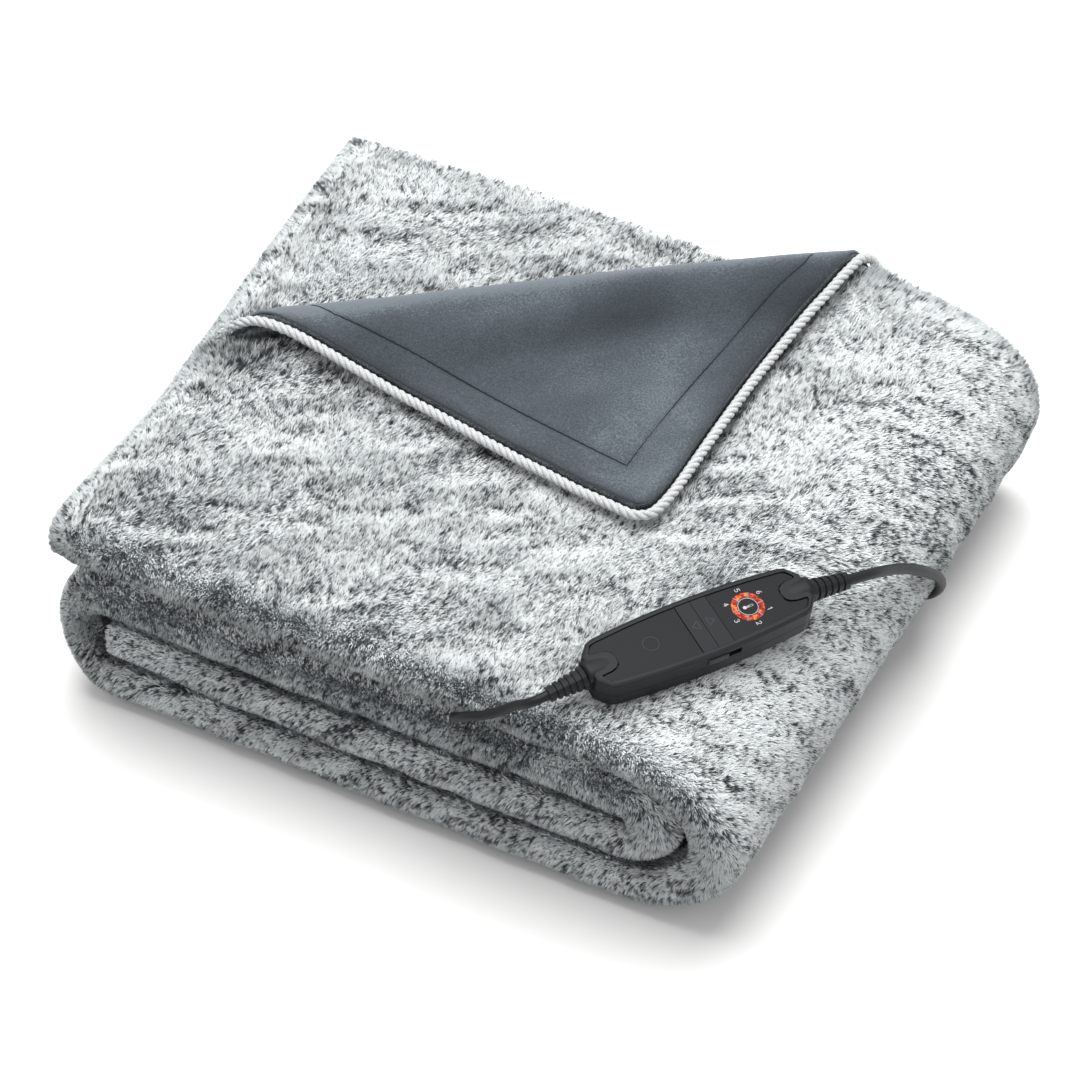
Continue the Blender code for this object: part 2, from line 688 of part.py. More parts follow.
boss_left, boss_right = boss("boss_left", -1), boss("boss_right", 1)
halves = {
    "handset_base": block("below_seam", (-0.2, -0.1, -0.1), (0.2, 0.1, SEAM - GAP / 2), HANDSET),
    "handset_cover": block("above_seam", (-0.2, -0.1, SEAM + GAP / 2), (0.2, 0.1, 0.1), HANDSET),
}
for name, side in halves.items():
    housing = slab(name, housing_outline(), 0.0, HOUSING_HEIGHT, "housing", HANDSET, round_by=0.0018)
    boolean(housing, boss_left, "UNION")
    boolean(housing, boss_right, "UNION")
    boolean(housing, side, "INTERSECT")
panel_floor = PLATE_TOP - PLATE_THICK - GAP
cuts = [
    slab("panel_pocket", panel_outline(-0.07, 0.07, RIM, 0.0012), panel_floor, 0.04, None, HANDSET, cutter=True),
    slab("key_pocket", panel_outline(KEY_X[0] - GAP / 2, KEY_X[2] + GAP / 2, RIM, 0.0), KEY_FLOOR - GAP, 0.05, None, HANDSET, cutter=True),
    block(
        "switch_slot",
        (SWITCH_X - GAP, -0.030, SWITCH_Z - GAP),
        (SWITCH_X + SWITCH_LONG + SWITCH_TRAVEL + GAP, -0.0194, SWITCH_Z + SWITCH_HIGH + GAP),
        HANDSET,
    ),
]
for cut in cuts:
    boolean(bpy.data.objects["handset_cover"], cut, "DIFFERENCE")

plate_inset, plate_margin = RIM + 1.3 * GAP, 0.0012 + 2 * GAP
for name, low, high, kind, bottom, top in (
    ("plate_left", -0.07, KEY_X[0] - GAP, "panel", PLATE_TOP - PLATE_THICK, PLATE_TOP),
    ("button_down", KEY_X[0] + GAP / 2, KEY_X[1] - GAP / 2, "keys", KEY_TOP - KEY_THICK, KEY_TOP),
    ("button_up", KEY_X[1] + GAP / 2, KEY_X[2] - GAP / 2, "keys", KEY_TOP - KEY_THICK, KEY_TOP),
    ("plate_right", KEY_X[2] + GAP, 0.07, "panel", PLATE_TOP - PLATE_THICK, PLATE_TOP),
):
    slab(name, panel_outline(low, high, plate_inset, plate_margin), bottom, top, kind, HANDSET)

slider = [
    (SWITCH_X, -0.0197),
    (SWITCH_X, -0.0224),
    (SWITCH_X + 0.0012, -0.0230),
    (SWITCH_X + SWITCH_LONG - 0.0012, -0.0230),
    (SWITCH_X + SWITCH_LONG, -0.0224),
    (SWITCH_X + SWITCH_LONG, -0.0197),
]
slab("switch_slider", slider, SWITCH_Z, SWITCH_Z + SWITCH_HIGH, "slider", HANDSET)

relief_ends = {}
for name, (start, length, thin) in RELIEFS.items():
    ribs = 5
    pitch = (length - 0.004) / ribs
    at = lambda a: RELIEF_ROOT - 0.0006 + (thin - RELIEF_ROOT + 0.0006) * a / length
    profile = [(GAP, 0.0), (GAP, RELIEF_ROOT - 0.0003)]
    for k in range(ribs):
        a = 0.0030 + k * pitch
        profile += [(a, at(a)), (a + 0.0003, at(a) - 0.0011)]
        profile += [(a + 0.0016, at(a) - 0.0011), (a + 0.0019, at(a + 0.0019))]
    profile += [(length, thin), (length, 0.0)]
    relief = turned(name, profile, "rubber", HANDSET, steps=12)
    sign = 1 if name == "relief_right" else -1
    axis = HANDSET_PLACE @ on_axis(relief, sign, start)
    relief_ends[name] = axis @ Vector((length, 0.0, 0.0))
    relief_ends[name + "_on"] = axis @ Vector((length + 0.006, 0.0, 0.0))


# --- the cords -------------------------------------------------------------------------------------------------------
def out_of(name, spare):
    end, on = relief_ends[name], relief_ends[name + "_on"]
    straight = (on - end).normalized()
    return [tuple(end + straight * (1.3 * GAP + step)) for step in (0.0, spare)]


def round_front(x, angle, lift):
    """A point beside the top layer's front fold, this far from the left and this many degrees up it, lifted off its cloth."""
    a, r = math.radians(angle), PITCH + PLY / 2 + lift
    return uneven([(x, FRONT_FOLD - r * math.cos(a), TOP_LAYER + r * math.sin(a))])[0]


tube(
    "cord_blanket",
    smooth_line(
        out_of("relief_left", 0.010)
        + list(BLANKET_ROUTE)
        + [tuple(round_front(*row)) for row in BLANKET_ROUND],
        0.0085,
    ),
    BLANKET_CORD / 2,
    "rubber",
    STACK,
)


def round_roll(y, angle, lift):
    """A point beside the roll, this far from the front and this many degrees round it, lifted off its cloth."""
    a, r = math.radians(angle), 2 * LAYER_PITCH - 0.001 + lift
    centre = TOP_LAYER - 1.5 * LAYER_PITCH
    return uneven([(ROLL_X + r * math.cos(a), y, centre + r * math.sin(a))])[0]


mains = out_of("relief_right", 0.017) + [tuple(p) for p in MAINS_OVER]
mains += [tuple(round_roll(*row)) for row in MAINS_ROUND]
mains += [(x, y, MAINS_CORD / 2 + GAP) for x, y in MAINS_FLOOR]
coil_outer = COIL_INNER + MAINS_CORD
touch = math.sqrt((coil_outer + MAINS_CORD + 2 * GAP) ** 2 - coil_outer**2)
mains += [(COIL_AT[0] + touch, COIL_AT[1] - coil_outer, MAINS_CORD / 2 + GAP)]
mains_points = smooth_line(mains, 0.0165)
tube("cord_mains", mains_points, MAINS_CORD / 2, "rubber", STACK)

ring_low, ring_high = COIL_INNER - MAINS_CORD / 2, coil_outer + MAINS_CORD / 2
bpy.ops.mesh.primitive_cylinder_add(
    vertices=28, radius=ring_high, depth=COIL_LAYERS * MAINS_CORD
)
coil = bpy.context.object
for other in list(coil.users_collection):
    other.objects.unlink(coil)
coil.name = coil.data.name = "cord_coil"
place(coil, "rubber", STACK)
coil.location = (*COIL_AT, COIL_LAYERS * MAINS_CORD / 2)
bpy.ops.mesh.primitive_cylinder_add(vertices=28, radius=ring_low, depth=0.1)
hole = bpy.context.object
for other in list(hole.users_collection):
    other.objects.unlink(hole)
hole.name = hole.data.name = "coil_hole"
place(hole, None, STACK, cutter=True)
hole.location = (*COIL_AT, 0.0)
boolean(coil, hole, "DIFFERENCE")

plug_z = PLUG_HIGH / 2
tail = [
    (COIL_AT[0] - touch, COIL_AT[1] - coil_outer, 0.0088),
    (COIL_AT[0] - touch - 0.014, COIL_AT[1] - coil_outer + 0.0004, 0.0076),
    (PLUG_AT[0] + 0.0130 + 0.0090, PLUG_AT[1], plug_z),
    (PLUG_AT[0] + 0.0130 + GAP + 0.0001, PLUG_AT[1], plug_z),
]
tube("cord_tail", smooth_line(tail, 0.008), MAINS_CORD / 2, "rubber", STACK)

body = [
    (0.0, -0.0060),
    (0.0130, -0.0052),
    (0.0130, 0.0052),
    (0.0, 0.0060),
    (-0.0080, PLUG_WIDE / 2 - 0.003),
    (-0.0140, PLUG_WIDE / 2),
    (-PLUG_LONG, PLUG_WIDE / 2 - 0.0015),
    (-PLUG_LONG, -PLUG_WIDE / 2 + 0.0015),
    (-0.0140, -PLUG_WIDE / 2),
    (-0.0080, -PLUG_WIDE / 2 + 0.003),
]
plug = slab("plug", body, -PLUG_HIGH / 2, PLUG_HIGH / 2, "rubber", STACK, round_by=0.0022)
plug.modifiers["rounded"].angle_limit = math.radians(30)
plug.location = (*PLUG_AT, plug_z)
for name, side in (("plug_pin_left", -1), ("plug_pin_right", 1)):
    profile = [(GAP, 0.0), (GAP, PIN_RADIUS), (PIN_LONG - 0.001, PIN_RADIUS), (PIN_LONG, PIN_RADIUS - 0.001), (PIN_LONG, 0.0)]
    pin = turned(name, profile, "steel", STACK, steps=12)
    pin.matrix_local = Matrix.Translation((PLUG_AT[0] - PLUG_LONG, PLUG_AT[1] + side * PIN_APART / 2, plug_z)) @ Matrix.Rotation(math.pi, 4, "Z")

for obj in PARTS.objects:
    if obj.type == "MESH":
        obj.data.shade_smooth()
        obj.data.set_sharp_from_angle(angle=math.radians(40))
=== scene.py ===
"""The looks of the folded heated overblanket: its pile, lining, piping, handset and cords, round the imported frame. Metres, +Z up."""

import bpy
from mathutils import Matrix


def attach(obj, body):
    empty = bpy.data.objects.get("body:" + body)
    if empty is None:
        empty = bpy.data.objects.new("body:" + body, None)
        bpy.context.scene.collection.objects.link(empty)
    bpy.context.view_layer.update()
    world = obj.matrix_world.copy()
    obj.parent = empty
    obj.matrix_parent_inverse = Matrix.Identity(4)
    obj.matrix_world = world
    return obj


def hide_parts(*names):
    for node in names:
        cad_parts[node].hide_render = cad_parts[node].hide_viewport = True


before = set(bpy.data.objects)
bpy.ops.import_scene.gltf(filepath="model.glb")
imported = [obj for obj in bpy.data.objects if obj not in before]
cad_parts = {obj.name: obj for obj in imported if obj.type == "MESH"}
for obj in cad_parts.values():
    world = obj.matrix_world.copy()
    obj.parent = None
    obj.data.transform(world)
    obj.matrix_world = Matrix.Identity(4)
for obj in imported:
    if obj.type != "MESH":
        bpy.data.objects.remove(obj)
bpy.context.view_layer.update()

import math

import bmesh
import bpy
import numpy as np
from mathutils import Matrix, Vector
from mathutils.bvhtree import BVHTree

# --- the folded cloth's own measures and shape, as the frame has them ---------------------------------------------------
# The regular stack, before it is made uneven
WIDTH, DEPTH, HEIGHT = 0.482, 0.430, 0.162
PLY = 0.012  # backing and standing pile together
PITCH = 0.0135  # from one ply to the next inside a layer
LAYER_PITCH = 0.041
EDGE = 0.0205  # the top layer's free end
ROLL_X = 0.401  # where the turns of the roll begin
LEFT_X = 0.0605  # where the left turn begins
TOP_LAYER = HEIGHT - PITCH - PLY / 2
ROUTE = (  # kind, length or radius
    ("run", ROLL_X - EDGE),
    ("turn", 1.5 * LAYER_PITCH),
    ("run", ROLL_X - LEFT_X),
    ("turn", LAYER_PITCH),
    ("run", ROLL_X - LEFT_X),
    ("turn", 0.5 * LAYER_PITCH),
    ("run", ROLL_X - LEFT_X + 0.004),
)
STATIONS = (12, 10, 5, 8, 5, 6, 4)  # divisions of each row of ROUTE
C_EDGE, FRONT_FOLD, BACK_FOLD = 0.023, 0.0195, DEPTH - 0.010 - PITCH / 2 - PLY / 2
SECTION = (
    ("run", BACK_FOLD - C_EDGE),
    ("turn", PITCH / 2),
    ("run", BACK_FOLD - FRONT_FOLD),
    ("turn", PITCH),
    ("run", DEPTH),
)
ACROSS = (5, 5, 6, 7, 9)  # divisions of each row of SECTION
BACK_EDGE = DEPTH - 0.008

# The crease of the turned-back corner, seen from above: t runs along it and d towards the front
CREASE_AT = np.array((0.01476, 0.19929))
ALONG = np.array((0.80225, 0.59698))
DOWN = np.array((0.59698, -0.80225))
CREASE_BOW = np.array(  # t, bow
    (
        (0.000, 0.0245),
        (0.012, 0.0225),
        (0.030, 0.0168),
        (0.055, 0.0105),
        (0.090, 0.0053),
        (0.140, 0.0033),
        (0.200, 0.0038),
        (0.260, 0.0046),
        (0.320, 0.0059),
        (0.360, 0.0068),
        (0.385, 0.0077),
        (0.400, 0.0088),
        (0.412, 0.0122),
        (0.425, 0.0190),
    )
)
BEND = 0.0110  # radius of the crease at the middle of the cloth
SETTLED = 0.0075  # half of the height between the plies further on
PINCH = 0.005  # how far the crease comes down at its two ends
FLAP_EDGE = np.array(  # t, distance q on from the crease, of the middle of the piping
    (
        (0.0000, 0.0000),
        (0.0090, 0.0105),
        (0.0200, 0.0180),
        (0.0290, 0.0220),
        (0.0359, 0.0262),
        (0.0402, 0.0300),
        (0.0507, 0.0392),
        (0.0637, 0.0547),
        (0.0792, 0.0732),
        (0.0969, 0.0926),
        (0.1143, 0.1116),
        (0.1317, 0.1317),
        (0.1496, 0.1522),
        (0.1669, 0.1716),
        (0.1835, 0.1890),
        (0.1969, 0.2032),
        (0.2099, 0.2149),
        (0.2213, 0.2250),
        (0.2281, 0.2299),
        (0.2318, 0.2309),
        (0.2358, 0.2303),
        (0.2424, 0.2259),
        (0.2528, 0.2146),
        (0.2637, 0.1998),
        (0.2870, 0.1664),
        (0.3104, 0.1336),
        (0.3305, 0.1072),
        (0.3474, 0.0873),
        (0.3630, 0.0702),
        (0.3784, 0.0545),
        (0.3911, 0.0408),
        (0.4023, 0.0285),
        (0.4092, 0.0205),
        (0.4150, 0.0130),
        (0.4195, 0.0055),
        (0.4215, 0.0000),
    )
)
ROPE = 0.0036  # radius of the piping
ROPE_OFF = 0.0043  # from a cloth's edge to the middle of the piping
FUR_SIDES = (-0.0042, 0.0056)  # the turned-back fur ply, off its middle
VELOUR_SIDES = (-0.0062, -0.0046)
BEND_FROM = 0.0022  # where the lining starts to show, on from the crease

# The handset: its own x along it, y across it, z up from its flat bottom
HANDSET_AT = Vector((0.4008, 0.0920, 0.1545))
HANDSET_UP = Vector((0.10451, -0.01745, 0.99437))
HANDSET_HEADING = math.radians(53.7)
HOUSING_HEIGHT = 0.0203
HALF_WIDTH, WAIST, WAIST_X = 0.022, 0.0035, 0.064
CORNERS = ((0.068, 0.0170), (0.0745, 0.0095))
SEAM = 0.0095  # height of the joint between base and cover
GAP = 0.0003
RIM = 0.0036
PLATE_TOP, PLATE_THICK = 0.0195, 0.0016
KEY_X = (-0.0072, 0.00315, 0.0139)
KEY_TOP, KEY_THICK = 0.0198, 0.0029
KEY_FLOOR = 0.0157
SWITCH_X, SWITCH_LONG, SWITCH_TRAVEL = -0.0058, 0.0140, 0.0090
SWITCH_Z, SWITCH_HIGH = 0.0120, 0.0040
RELIEF_PIVOT, RELIEF_PITCH = Vector((0.068, 0.0, 0.0135)), math.radians(9)
RELIEFS = {  # start from the handset's middle, length, radius at the cord
    "relief_left": (0.0765, 0.0240, 0.0048),
    "relief_right": (0.0765, 0.0285, 0.0054),
}
RELIEF_ROOT = 0.0080

# The cords
BLANKET_CORD, MAINS_CORD = 0.0060, 0.0070
BLANKET_ROUTE = (  # x, y, z, through the air on to the top layer's fold
    (0.3245, 0.0022, 0.1575),
)
BLANKET_ROUND = (  # distance from the left, angle up the front of the fold, lift off it
    (0.3241, 34.0, 0.0042),
    (0.3157, 18.0, 0.0038),
    (0.3074, 6.0, 0.0036),
    (0.3000, -8.0, 0.0036),
    (0.2950, -24.0, 0.0036),
    (0.2925, -40.0, 0.0036),
    (0.2915, -56.0, 0.0037),
)
MAINS_OVER = (  # x, y, z, through the air on to the roll
    (0.4762, 0.2060, 0.1415),
    (0.4806, 0.2225, 0.1285),
    (0.4875, 0.2415, 0.1120),
)
MAINS_ROUND = (  # distance from the front, angle round the roll, lift off it
    (0.2525, 13.0, 0.0043),
    (0.2640, 2.0, 0.0040),
    (0.2740, -11.0, 0.0040),
    (0.2815, -25.0, 0.0041),
    (0.2885, -38.0, 0.0042),
    (0.2975, -50.0, 0.0044),
    (0.3110, -59.5, 0.0050),
)
MAINS_FLOOR = (  # x, y
    (0.4560, 0.3400),
    (0.4600, 0.3700),
    (0.4650, 0.4050),
    (0.4690, 0.4370),
    (0.4640, 0.4560),
    (0.4500, 0.4700),
    (0.4300, 0.4765),
    (0.4000, 0.4745),
    (0.3600, 0.4655),
    (0.3200, 0.4555),
    (0.2850, 0.4480),
    (0.2550, 0.4430),
)
COIL_AT, COIL_INNER, COIL_LAYERS = (0.2200, 0.4840), 0.0345, 3
PLUG_AT, PLUG_LONG, PLUG_WIDE, PLUG_HIGH = (0.1500, 0.4460), 0.0360, 0.0350, 0.0137
PIN_RADIUS, PIN_LONG, PIN_APART = 0.0020, 0.0190, 0.0186

# Middle of the box round everything but the cords
CENTRE = Vector((0.25147, 0.22116, 0.0))


def ramp(v):
    v = np.clip(v, 0.0, 1.0)
    return v * v * (3.0 - 2.0 * v)


def follow(rows, start, distance):
    """Points, and the directions to the left, at these distances along a route of runs and half turns to the right."""
    distance = np.atleast_1d(np.asarray(distance, float))
    points, lefts = np.zeros((len(distance), 2)), np.zeros((len(distance), 2))
    at, ahead, gone = np.array(start, float), np.array((1.0, 0.0)), 0.0
    for k, (kind, size) in enumerate(rows):
        left = np.array((-ahead[1], ahead[0]))
        length = size if kind == "run" else math.pi * size
        here = np.ones(len(distance), bool) if k == 0 else distance >= gone
        on = (distance[here] - gone)[:, None]
        if kind == "run":
            points[here], lefts[here] = at + on * ahead, left
            at = at + length * ahead
        else:
            centre = at - size * left
            lefts[here] = np.cos(on / size) * left + np.sin(on / size) * ahead
            points[here] = centre + size * lefts[here]
            at, ahead = centre - size * left, -ahead
        gone += length
    return points, lefts


def lengths(rows):
    return [size if kind == "run" else math.pi * size for kind, size in rows]


def marks(rows, divisions):
    """Distances along a route that divide each of its rows evenly."""
    found, gone = [0.0], 0.0
    for length, n in zip(lengths(rows), divisions, strict=True):
        found += [gone + length * (k + 1) / n for k in range(n)]
        gone += length
    return np.array(found)


def uneven(p):
    """Carries points of the regular stack into the real one, which leans, narrows to the left front and has soft troughs."""
    x, y, z = np.asarray(p, float).T
    squeezed = x - 0.0145 * np.exp(-(((x - 0.052) / 0.028) ** 2))
    fx, fy, fz = squeezed / WIDTH, y / DEPTH, z / HEIGHT
    clear = 1.0 - np.exp(-(((x - 0.40) / 0.085) ** 2) - (((y - 0.10) / 0.100) ** 2))
    trough = np.exp(-((((x - 0.16) * 0.50 + (y - 0.10) * -0.86) / 0.016) ** 2)) * ramp(
        1.4 - np.abs((x - 0.16) * 0.86 + (y - 0.10) * 0.50) / 0.085
    )
    waves = 0.0010 * np.sin(17.0 * x + 9.0 * y + 0.6) + 0.0008 * np.sin(
        9.0 * x - 21.0 * y + 2.0
    )
    behind = (x - CREASE_AT[0]) * DOWN[0] + (y - CREASE_AT[1]) * DOWN[1]
    raised = 0.0130 * ramp((0.050 - behind) / 0.160)
    lift = clear * (waves - 0.0022 * trough) * fz**3 + raised * fz**2
    spread = fy * np.exp(-((x / 0.10) ** 2)) * (0.35 + 0.65 * fz)
    front = 0.0014 * np.sin(14.0 * x + 5.0 * fz) * np.clip(1.0 - 4.0 * fy, 0.0, 1.0)
    return np.stack(
        [
            -0.003 + 0.019 * fy + fx * (0.473 + 0.0178 * fy) - 0.022 * spread,
            fy * (0.421 + 0.018 * fx) + front * np.clip(3.0 * fz, 0.0, 1.0),
            fz * (0.1641 - 0.0122 * fx) + lift,
        ],
        axis=1,
    )


def tip_drop(t):
    return PINCH * (1.0 - ramp(t / 0.040)) + PINCH * ramp((t - 0.385) / 0.040)


def bend_radius(t):
    return BEND - tip_drop(t) / 2.0


def crease(t):
    """How far towards the front the flat ply ends and its bend begins."""
    bow = np.interp(t, CREASE_BOW[:, 0], CREASE_BOW[:, 1])
    return bow - 0.883 * tip_drop(t) + bend_radius(t) + 0.006


def crease_y(x):
    """The crease's place in y at this x."""
    y = np.full(np.shape(x), 0.3)
    for _ in range(20):
        t = (x - CREASE_AT[0]) * ALONG[0] + (y - CREASE_AT[1]) * ALONG[1]
        y = CREASE_AT[1] + ((x - CREASE_AT[0]) * DOWN[0] - crease(t)) / -DOWN[1]
    return y


def corner(t, q, w):
    """Points of the regular stack on the turned-back corner, t along its crease and q on from it."""
    t, q, w = np.broadcast_arrays(*(np.asarray(v, float) for v in (t, q, w)))
    r = bend_radius(t)
    turn = np.clip(q / r, 0.0, math.pi)
    past, before = np.maximum(q - math.pi * r, 0.0), np.minimum(q, 0.0)
    d = crease(t) - r * np.sin(turn) + past - before + w * np.sin(turn)
    z = HEIGHT - PLY / 2 + r * (1.0 - np.cos(turn)) + w * np.cos(turn)
    z = z - (0.0018 + 2.0 * (r - SETTLED)) * ramp(past / 0.075)
    xy = CREASE_AT + t[..., None] * ALONG + d[..., None] * DOWN
    return np.concatenate([xy, z[..., None]], axis=-1).reshape(-1, 3)


def smooth_line(points, spacing):
    """Evenly spaced points on a smooth curve through these."""
    p = np.asarray(points, float)
    p = np.vstack([2 * p[0] - p[1], p, 2 * p[-1] - p[-2]])
    fine = []
    for a, b, c, d in zip(p, p[1:], p[2:], p[3:]):
        ta = math.sqrt(np.linalg.norm(b - a))
        tb = ta + math.sqrt(np.linalg.norm(c - b))
        tc = tb + math.sqrt(np.linalg.norm(d - c))
        for t in np.linspace(ta, tb, 17)[:-1]:
            ab = ((ta - t) * a + t * b) / ta
            bc = ((tb - t) * b + (t - ta) * c) / (tb - ta)
            cd = ((tc - t) * c + (t - tb) * d) / (tc - tb)
            abc = ((tb - t) * ab + t * bc) / tb
            bcd = ((tc - t) * bc + (t - ta) * cd) / (tc - ta)
            fine.append(((tb - t) * abc + (t - ta) * bcd) / (tb - ta))
    fine = np.vstack([fine, p[-2]])
    gone = np.append(0.0, np.cumsum(np.linalg.norm(np.diff(fine, axis=0), axis=1)))
    count = max(2, round(gone[-1] / spacing) + 1)
    at = np.linspace(0.0, gone[-1], count)
    return np.stack([np.interp(at, gone, c) for c in fine.T], axis=1)


def inside_edge(distance):
    """The turned-back corner's outline, moved in by a distance."""
    line = smooth_line(FLAP_EDGE, 0.002)
    ahead = np.gradient(line, axis=0)
    ahead /= np.linalg.norm(ahead, axis=1)[:, None]
    moved = line + distance * np.stack([ahead[:, 1], -ahead[:, 0]], axis=1)
    return moved[np.linalg.norm(moved[:, None] - line[None], axis=2).min(1) > 0.97 * distance]


CLOTH_EDGE = inside_edge(ROPE_OFF - 0.0002)
CORNER_FROM = float(np.interp(0.0, CLOTH_EDGE[:16, 1], CLOTH_EDGE[:16, 0]))
CREASE_START = CREASE_AT + CORNER_FROM * ALONG + float(crease(CORNER_FROM)) * DOWN
INSET = CREASE_START[0] - EDGE


def pulled_in(s, y):
    """The top ply's free end slants inwards to the crease."""
    return INSET * ramp(y / CREASE_START[1]) * np.clip(1.0 - s / 0.12, 0.0, 1.0)


def cloth(s, u, w):
    """Points of the regular stack, s along the band, u across it and w off the ply's middle."""
    s, u, w = (v.ravel() for v in np.broadcast_arrays(*(np.asarray(v, float) for v in (s, u, w))))
    across, out = follow(SECTION, (C_EDGE, 0.0), u)
    y, n = (across + w[:, None] * out).T
    top_ply = u >= sum(lengths(SECTION)[:3])
    s = s + np.where(top_ply, pulled_in(np.maximum(s, 0.0), np.maximum(y, 0.0)), 0.0)
    along, left = follow(ROUTE, (EDGE, TOP_LAYER), s)
    x, z = (along + n[:, None] * left).T
    return np.stack([x, y, z], axis=1)


def top_ply_end(s):
    """Where the top ply ends in y at this distance along the band: the crease, and past it the free back edge."""
    y = np.full(len(s), BACK_EDGE)
    on_top = s < ROUTE[0][1]
    found = np.full(on_top.sum(), 0.25)
    for _ in range(30):
        x = EDGE + s[on_top] + pulled_in(s[on_top], found)
        found = 0.5 * found + 0.5 * np.minimum(crease_y(x), BACK_EDGE)
    y[on_top] = found
    return y


MIDDLE = np.array(tuple(CENTRE))
CLOTH_LONG, CLOTH_WIDE = sum(lengths(ROUTE)), sum(lengths(SECTION))
TOP_FROM = sum(lengths(SECTION)[:4])


def real(p):
    """Points of the regular stack, in the frame."""
    return uneven(p) - MIDDLE


def unit(v):
    return v / np.maximum(np.linalg.norm(v, axis=-1, keepdims=True), 1e-12)


# --- the camera ----------------------------------------------------------------------------------------------------------
def camera():
    az, el = math.radians(25.700), math.radians(47.969)
    back = Vector((math.sin(az) * math.cos(el), -math.cos(az) * math.cos(el), math.sin(el)))
    data = bpy.data.cameras.new("camera")
    data.sensor_width, data.lens = 36.0, 3200.38 / 1080 * 36.0
    data.shift_x, data.shift_y = (540 - 522.199) / 1080, (504.177 - 540) / 1080
    obj = bpy.data.objects.new("camera", data)
    bpy.context.scene.collection.objects.link(obj)
    obj.location = Vector((0.23, 0.21, 0.08)) - Vector(MIDDLE) + back * 2.07717
    obj.rotation_mode = "QUATERNION"
    obj.rotation_quaternion = (-back).to_track_quat("-Z", "Y")
    bpy.context.scene.camera = obj
    return back


BACK = camera()


# --- helpers -------------------------------------------------------------------------------------------------------------
def add(name, data, body="blanket"):
    obj = bpy.data.objects.new(name, data)
    bpy.context.scene.collection.objects.link(obj)
    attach(obj, body)
    return obj


def mesh_of(name, points, faces, smooth=True):
    """A mesh from arrays of points and of same-sided faces."""
    points, faces = np.asarray(points, np.float32), np.asarray(faces, np.int32)
    mesh = bpy.data.meshes.new(name)
    mesh.vertices.add(len(points))
    mesh.vertices.foreach_set("co", points.ravel())
    sides = faces.shape[1]
    mesh.loops.add(faces.size)
    mesh.loops.foreach_set("vertex_index", faces.ravel())
    mesh.polygons.add(len(faces))
    mesh.polygons.foreach_set("loop_start", np.arange(0, faces.size, sides, dtype=np.int32))
    mesh.update(calc_edges=True)
    mesh.polygons.foreach_set("use_smooth", np.full(len(faces), smooth))
    mesh.validate()
    mesh.update()
    return mesh


def table_noise(seed, size=256):
    return np.random.default_rng(seed).random((size, size))


TABLES = {}


def noise(x, y, scale, seed):
    """Smooth noise from 0 to 1 over the plane, with lumps of this size."""
    if seed not in TABLES:
        TABLES[seed] = table_noise(seed)
    grid = TABLES[seed]
    x, y = x / scale + 37.3, y / scale + 91.7
    i, j = np.floor(x).astype(int), np.floor(y).astype(int)
    fx, fy = ramp(x - i), ramp(y - j)
    pick = lambda a, b: grid[(i + a) & 255, (j + b) & 255]
    return (pick(0, 0) * (1 - fx) + pick(1, 0) * fx) * (1 - fy) + (
        pick(0, 1) * (1 - fx) + pick(1, 1) * fx
    ) * fy


class Nodes:
    """A short way to write a material's node tree."""

    def __init__(self, name):
        self.material = bpy.data.materials.new(name)
        self.material.use_nodes = True
        self.tree = self.material.node_tree
        self.shader = self.tree.nodes["Principled BSDF"]

    def node(self, kind, links=(), **settings):
        made = self.tree.nodes.new(kind)
        for key, value in settings.items():
            if key.startswith("in_"):
                name = key[3:]
                made.inputs[int(name) if name.isdigit() else name.replace("_", " ")].default_value = value
            else:
                setattr(made, key, value)
        for socket, source in links:
            self.link(source, made.inputs[socket])
        return made

    def link(self, source, target):
        if isinstance(source, tuple):
            source = source[0].outputs[source[1]]
        elif hasattr(source, "outputs"):
            source = source.outputs[0]
        self.tree.links.new(source, target)

    def set(self, **values):
        for key, value in values.items():
            self.shader.inputs[key.replace("_", " ")].default_value = value

    def ramp(self, source, stops, interpolation="LINEAR"):
        made = self.tree.nodes.new("ShaderNodeValToRGB")
        made.color_ramp.interpolation = interpolation
        elements = made.color_ramp.elements
        while len(elements) < len(stops):
            elements.new(0.5)
        for element, (at, colour) in zip(elements, stops):
            element.position = at
            element.color = (*colour, 1.0) if len(colour) == 3 else colour
        self.link(source, made.inputs["Fac"])
        return made

    def noise(self, scale, detail=2.0, roughness=0.5, coords=None, **more):
        made = self.node("ShaderNodeTexNoise", in_Scale=scale, in_Detail=detail, in_Roughness=roughness, **more)
        if coords is None:
            coords = (self.coords(), "Object")
        self.link(coords, made.inputs["Vector"])
        return made

    def coords(self):
        found = [n for n in self.tree.nodes if n.bl_idname == "ShaderNodeTexCoord"]
        return found[0] if found else self.tree.nodes.new("ShaderNodeTexCoord")

    def bump(self, height, strength, distance, normal=None):
        made = self.node("ShaderNodeBump", in_Strength=strength, in_Distance=distance)
        self.link(height, made.inputs["Height"])
        if normal is not None:
            self.link(normal, made.inputs["Normal"])
        self.link(made, self.shader.inputs["Normal"])
        return made

    def mix(self, a, b, factor, blend="MIX"):
        made = self.tree.nodes.new("ShaderNodeMix")
        made.data_type, made.blend_type = "RGBA", blend
        for socket, value in ((0, factor), (6, a), (7, b)):
            if isinstance(value, (int, float)):
                made.inputs[socket].default_value = value
            elif isinstance(value, tuple) and isinstance(value[0], (int, float)):
                made.inputs[socket].default_value = (*value, 1.0) if len(value) == 3 else value
            else:
                self.link(value, made.inputs[socket])
        return (made, 2)

    def math(self, operation, a, b=None):
        made = self.node("ShaderNodeMath", operation=operation)
        for socket, value in ((0, a), (1, b)):
            if value is None:
                continue
            if isinstance(value, (int, float)):
                made.inputs[socket].default_value = value
            else:
                self.link(value, made.inputs[socket])
        return made


